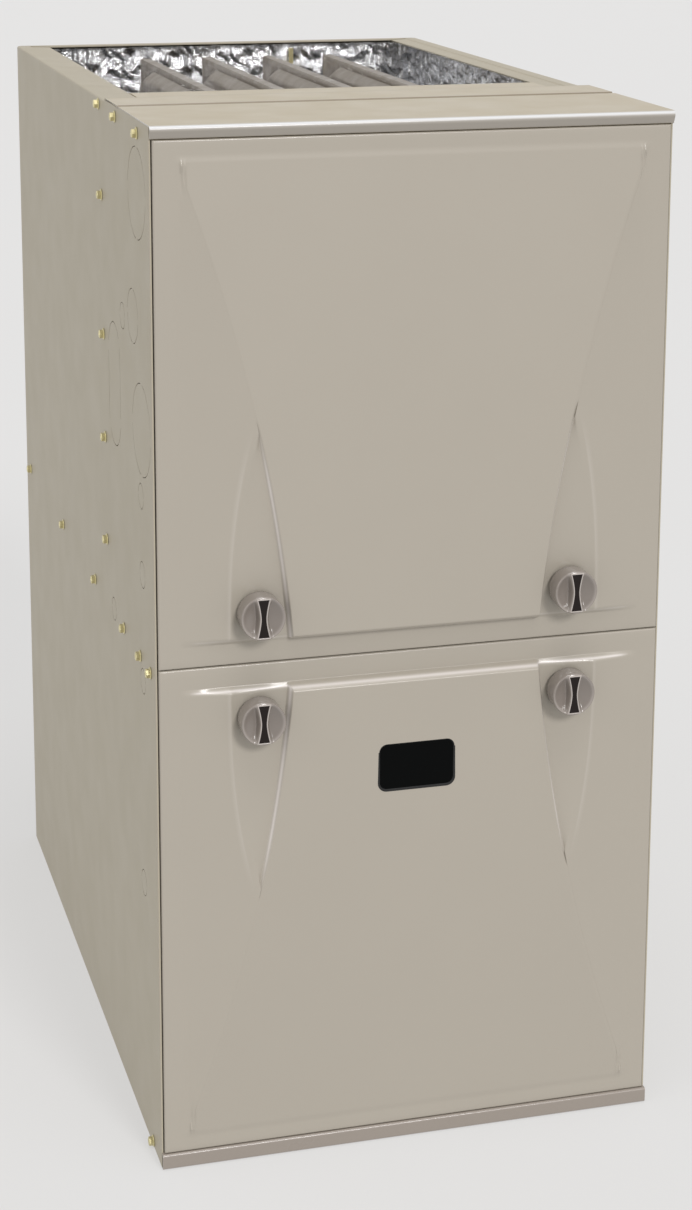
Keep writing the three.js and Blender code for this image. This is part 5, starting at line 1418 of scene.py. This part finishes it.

# %% [markdown]
# ## Hoses
#
# Two soft hoses join the collector box to the pressure switch and to the trap. Each follows a
# smooth curve through a few given points, the same as in the solids.

# %% Pressure hose and drain hose
HOSE_RADIUS = 4.0
HOSES = {
    "pressure_tube": (clear_hose, [(-96, 159.7, 524), (-96, 145.7, 524), (-110, 129.7, 536),
                                   (-136, 125.7, 566), (-160, 148.4, 592), (-160, 164.4, 600),
                                   (-160, 178.4, 600)]),
    "drain_tube": (rubber, [(-110, 159.7, 464), (-110, 147.7, 464), (-124, 127.7, 454),
                            (-136, 129.7, 466), (-150, 168.3, 486), (-162, 166.3, 496),
                            (-162, 152.3, 496)]),
}
for node, (finish, points) in HOSES.items():
    route = smooth_route(points, 60)
    hose = piece(f"{node}_hose", [pipe(route, HOSE_RADIUS, 24)], finish, stands_for=[node], crease=50)

# %% [markdown]
# ## Blower
#
# The blower moves the house air. Its housing is a larger spiral of sheet steel with a round
# inlet in each side plate, cut by a Boolean. The wheel has many short blades that curve
# forwards: one blade is a bent strip, turned to its places about the axis. The motor sits in
# one inlet, held by a band with three arms.

# %% Blower housing, wheel and motor
BLOWER = [0.0, 440.0, 197.0]
HOUSING_HALF, INLET, BLADES = 118.0, 112.0, 44
spiral = scroll(136, 202, 228.5, 30, 90)
centre_sz = np.array(BLOWER[1:])
wall_path = np.vstack([spiral[-2:], spiral[:-2]]) + centre_sz
wall = bar(folded(wall_path, SHEET), "x", -HOUSING_HALF, HOUSING_HALF)
side_plates = [bar(spiral + centre_sz, "x", *sorted([side * HOUSING_HALF, side * (HOUSING_HALF - SHEET)]))
               for side in (-1, 1)]
plates = piece("blower_side_plates", side_plates, galvanised)
carve(plates, [turned_solid([[0, -130], [INLET, -130], [INLET, 130], [0, 130]], "x", BLOWER, 96, 0)])
piece("blower_scroll_wall", [wall], galvanised, stands_for=["blower_housing"], crease=20)
bell_line = rounded_path([[110.6, 103], [111.4, 112], [115, 118.4], [122, 118.4], [122, 119.4],
                          [114.2, 119.4], [110.4, 112.4], [109.6, 103]], [0, 3, 2, 0, 0, 3, 3, 0], 4)
bell = np.vstack([bell_line, bell_line[:1]])
piece("blower_inlet_rings", [turned(bell * [1, side], "x", BLOWER, 96) for side in (-1, 1)],
      galvanised, crease=40)
seam_screws = [(HOUSING_HALF, BLOWER[1] + 150 * math.cos(angle), BLOWER[2] + 150 * math.sin(angle))
               for angle in (2.2, 3.3, 4.4)]
screws("blower_housing_screws", ("x", 1), seam_screws)

blade_t = np.linspace(0, 1, 6)
blade_line = np.stack([BLOWER[1] + 10 * blade_t ** 2, BLOWER[2] + 105 + 19 * blade_t], 1)
blades = around(bar(folded(blade_line, 0.8), "x", -98, 98), "x", BLOWER, BLADES)
ring_line = np.array([[104, 95], [125, 95], [125, 100], [123.5, 100], [123.5, 96.5], [104, 96.5],
                      [104, 95]], float)
rings = [turned(ring_line * [1, side], "x", BLOWER, 72) for side in (-1, 1)]
hub_line = [[0, -126], [6.3, -126], [6.3, 2], [124, 2], [124, 4], [16, 4], [16, 26], [0, 26]]
hub = turned_solid(hub_line, "x", BLOWER, 72, 0.3)
wheel_steel = rolled_steel("wheel_steel", "galvanised", srgb(176, 178, 180), 0.34)
piece("blower_wheel_blades", [blades, *rings, hub], wheel_steel, body="blower_wheel",
      stands_for=["blower_wheel"], crease=35)
motor_line = rounded_path([[6.8, -122], [48, -122], [62, -116], [62, -16], [54, -6], [6.8, -6],
                           [6.8, -122]], [0, 5, 4, 4, 4, 0, 0], 5)
piece("blower_motor_shell", [turned(motor_line, "x", BLOWER, 72)], black_paint,
      stands_for=["blower_motor"])
vanes = around(block([-123.2, -121], [438.6, 441.4], [197 + 22, 197 + 46]), "x", BLOWER, 18)
soften(piece("blower_motor_vanes", [vanes], black_paint), 0.5)
stack_line = [[61, 0], [62.8, 0.2], [62.8, 1.2], [61, 1.4], [61, 0]]
stack = repeated(turned(stack_line, "x", BLOWER, 72), [(x, 0, 0) for x in np.arange(-84, -48, 1.8)])
piece("blower_stator", [stack], cast_metal, crease=40)
print("blower blades:", BLADES)

# %% [markdown]
# ## Controls
#
# The control board carries relays, terminals, a plug, capacitors and the small status display
# that the sight window looks at. The transformer beside it is a stack of thin steel plates
# with a taped winding.

# %% Board, its parts, and the transformer
BOARD_FRONT = 56.9


def on_board(name, spans, finish, width=0.5, stands_for=()):
    """Boxes on the board: spans of x and z, and how far each stands out."""
    boxes = [block(xs, [BOARD_FRONT - out, BOARD_FRONT + 0.5], zs) for xs, zs, out in spans]
    return soften(piece(name, boxes, finish, stands_for=stands_for), width)


posts = [turned_solid([[0, 58], [3, 58], [3, 66.5], [0, 66.5]], "s", [x, 0, z], 16)
         for x in (-92, 64) for z in (309.5, 381.5)]
plate = block([-102, 74], [BOARD_FRONT, 58.5], [299.5, 391.5])
soften(piece("board_plate", [plate, *posts], board_finish, stands_for=["control_board"]), 0.2)
relays = [([x, x + 19], [357.5, 381.5], 15) for x in (-82, -56, -30)]
on_board("board_relays", relays, black_plastic, 0.8)
on_board("board_terminal_strip", [([-82, 34], [304.5, 316.5], 7)], black_plastic)
head_line = [[0, 48.4], [3.2, 48.4], [3.6, 49.4], [3.6, 50.2], [0, 50.2]]
head = turned_solid(head_line, "s", [0, 0, 310.5], 16, 0.2)
heads = repeated(head, [(x, 0, 0) for x in np.linspace(-76, 28, 9)])
piece("board_terminal_screws", [heads], zinc)
on_board("board_plug", [([24, 64], [361.5, 376.5], 9)], white_plastic)
pin = block([-0.6, 0.6], [46.6, 49], [-0.6, 0.6])
pins = repeated(pin, [(x, 0, z) for x in np.linspace(28, 60, 9) for z in (366, 372)])
piece("board_plug_pins", [pins], brass)
on_board("board_display", [([39, 64], [334.5, 354.5], 4.5)], glass_finish)
chips = [([-14, 4], [334, 344], 2.6), ([-14, -2], [322, 330], 2.2), ([10, 26], [338, 350], 2.6)]
on_board("board_chips", chips, black_plastic, 0.3)
can = [[0, 42], [4.2, 42], [4.8, 43], [4.8, 57], [0, 57]]
cans = [(-80, 336), (-66, 336), (-52, 338), (-38, 334), (-92, 356), (60, 318), (48, 318)]
piece("board_capacitors", [turned_solid(can, "s", [x, 0, z], 24, 0.3) for x, z in cans], black_plastic)
resistor = turned_solid([[0, -3], [1.3, -3], [1.3, 3], [0, 3]], "x", [0, 55.4, 0], 10, 0.3)
resistors = repeated(resistor, [(-84 + 11 * i, 0, 322 + 5 * j) for i in range(6) for j in range(2)])
piece("board_resistors", [resistors], ceramic)

core_plate = block([122, 158], [0, 0.9], [327, 373])
core = [repeated(core_plate, [(0, s, 0) for s in np.arange(32.5, 63.5, 1.15)]),
        block([122.6, 157.4], [33, 64.6], [327.6, 372.4])]
piece("transformer_core", core, cast_metal, stands_for=["transformer"])
tape = moulded("winding_tape", "white_plastic", srgb(206, 182, 112), 0.45, 0.05)
soften(piece("transformer_winding", [block([116, 164], [39.5, 58.5], [336, 364])], tape), 3.5, 4)
soften(piece("transformer_foot", [block([114, 166], [64.5, 66.5], [324, 376])], galvanised), 0.6)
screws("transformer_screws", ("s", -1), [(x, 64.6, z) for x in (117.6, 162.4) for z in (329, 371)])
print("board and transformer made")

# %% [markdown]
# ## Floor and light
#
# A pale sheet that runs on for metres, and far away turns up, has no edge in the picture. It
# glows a little of itself, as a light table does, so that shadows on it stay faint. The light
# is soft: the room itself is pale, and three broad lamps far away stand above, to the front
# and to the left.

# %% Studio
def studio_floor():
    """A flat square 80 m wide, and round it a rim that rises 14 m over the next 20 m."""
    finish = bpy.data.materials.new("floor_paper")
    finish.use_nodes = True
    shader = finish.node_tree.nodes["Principled BSDF"]
    shader.inputs["Base Color"].default_value = (0.25, 0.25, 0.25, 1)
    shader.inputs["Emission Color"].default_value = (0.485, 0.48, 0.475, 1)
    shader.inputs["Emission Strength"].default_value = 1.0
    shader.inputs["Roughness"].default_value = 0.9
    shader.inputs["Specular IOR Level"].default_value = 0.1
    corners = np.array([[-1, -1], [1, -1], [1, 1], [-1, 1]])
    rings = [np.c_[corners * reach, np.full(4, rise - 0.0005)] for reach, rise in ((40, 0), (60, 14))]
    side = np.arange(4)
    after = (side + 1) % 4
    sides = np.stack([side, after, after + 4, side + 4], 1)[:, ::-1]
    mesh = write_mesh("studio_floor", np.concatenate(rings), [side[None], sides])
    mesh.materials.append(finish)
    floor = bpy.data.objects.new("studio_floor", mesh)
    bpy.context.scene.collection.objects.link(floor)


studio_floor()
world = bpy.data.worlds.new("studio_room")
world.use_nodes = True
world.node_tree.nodes["Background"].inputs["Color"].default_value = (0.755, 0.755, 0.755, 1)
world.node_tree.nodes["Background"].inputs["Strength"].default_value = 0.75
bpy.context.scene.world = world


def far_lamp(name, turn, rise, width, power, color=(1, 1, 1)):
    """A broad lamp so far away that it lights the floor evenly: turn is to the right of the front."""
    lamp = bpy.data.lights.new(name, "SUN")
    lamp.angle = math.radians(width)
    lamp.energy = power
    lamp.color = color
    obj = bpy.data.objects.new(name, lamp)
    obj.rotation_euler = (math.radians(90 - rise), 0, math.radians(turn))
    bpy.context.scene.collection.objects.link(obj)


far_lamp("lamp_above", 0, 78, 30, 0.9)
far_lamp("lamp_front", 12, 30, 14, 1.45, (1.0, 0.985, 0.985))
far_lamp("lamp_left", -76, 30, 30, 0.3, (1.0, 0.98, 0.94))
bpy.context.scene.view_settings.view_transform = "Standard"
print("studio ready")
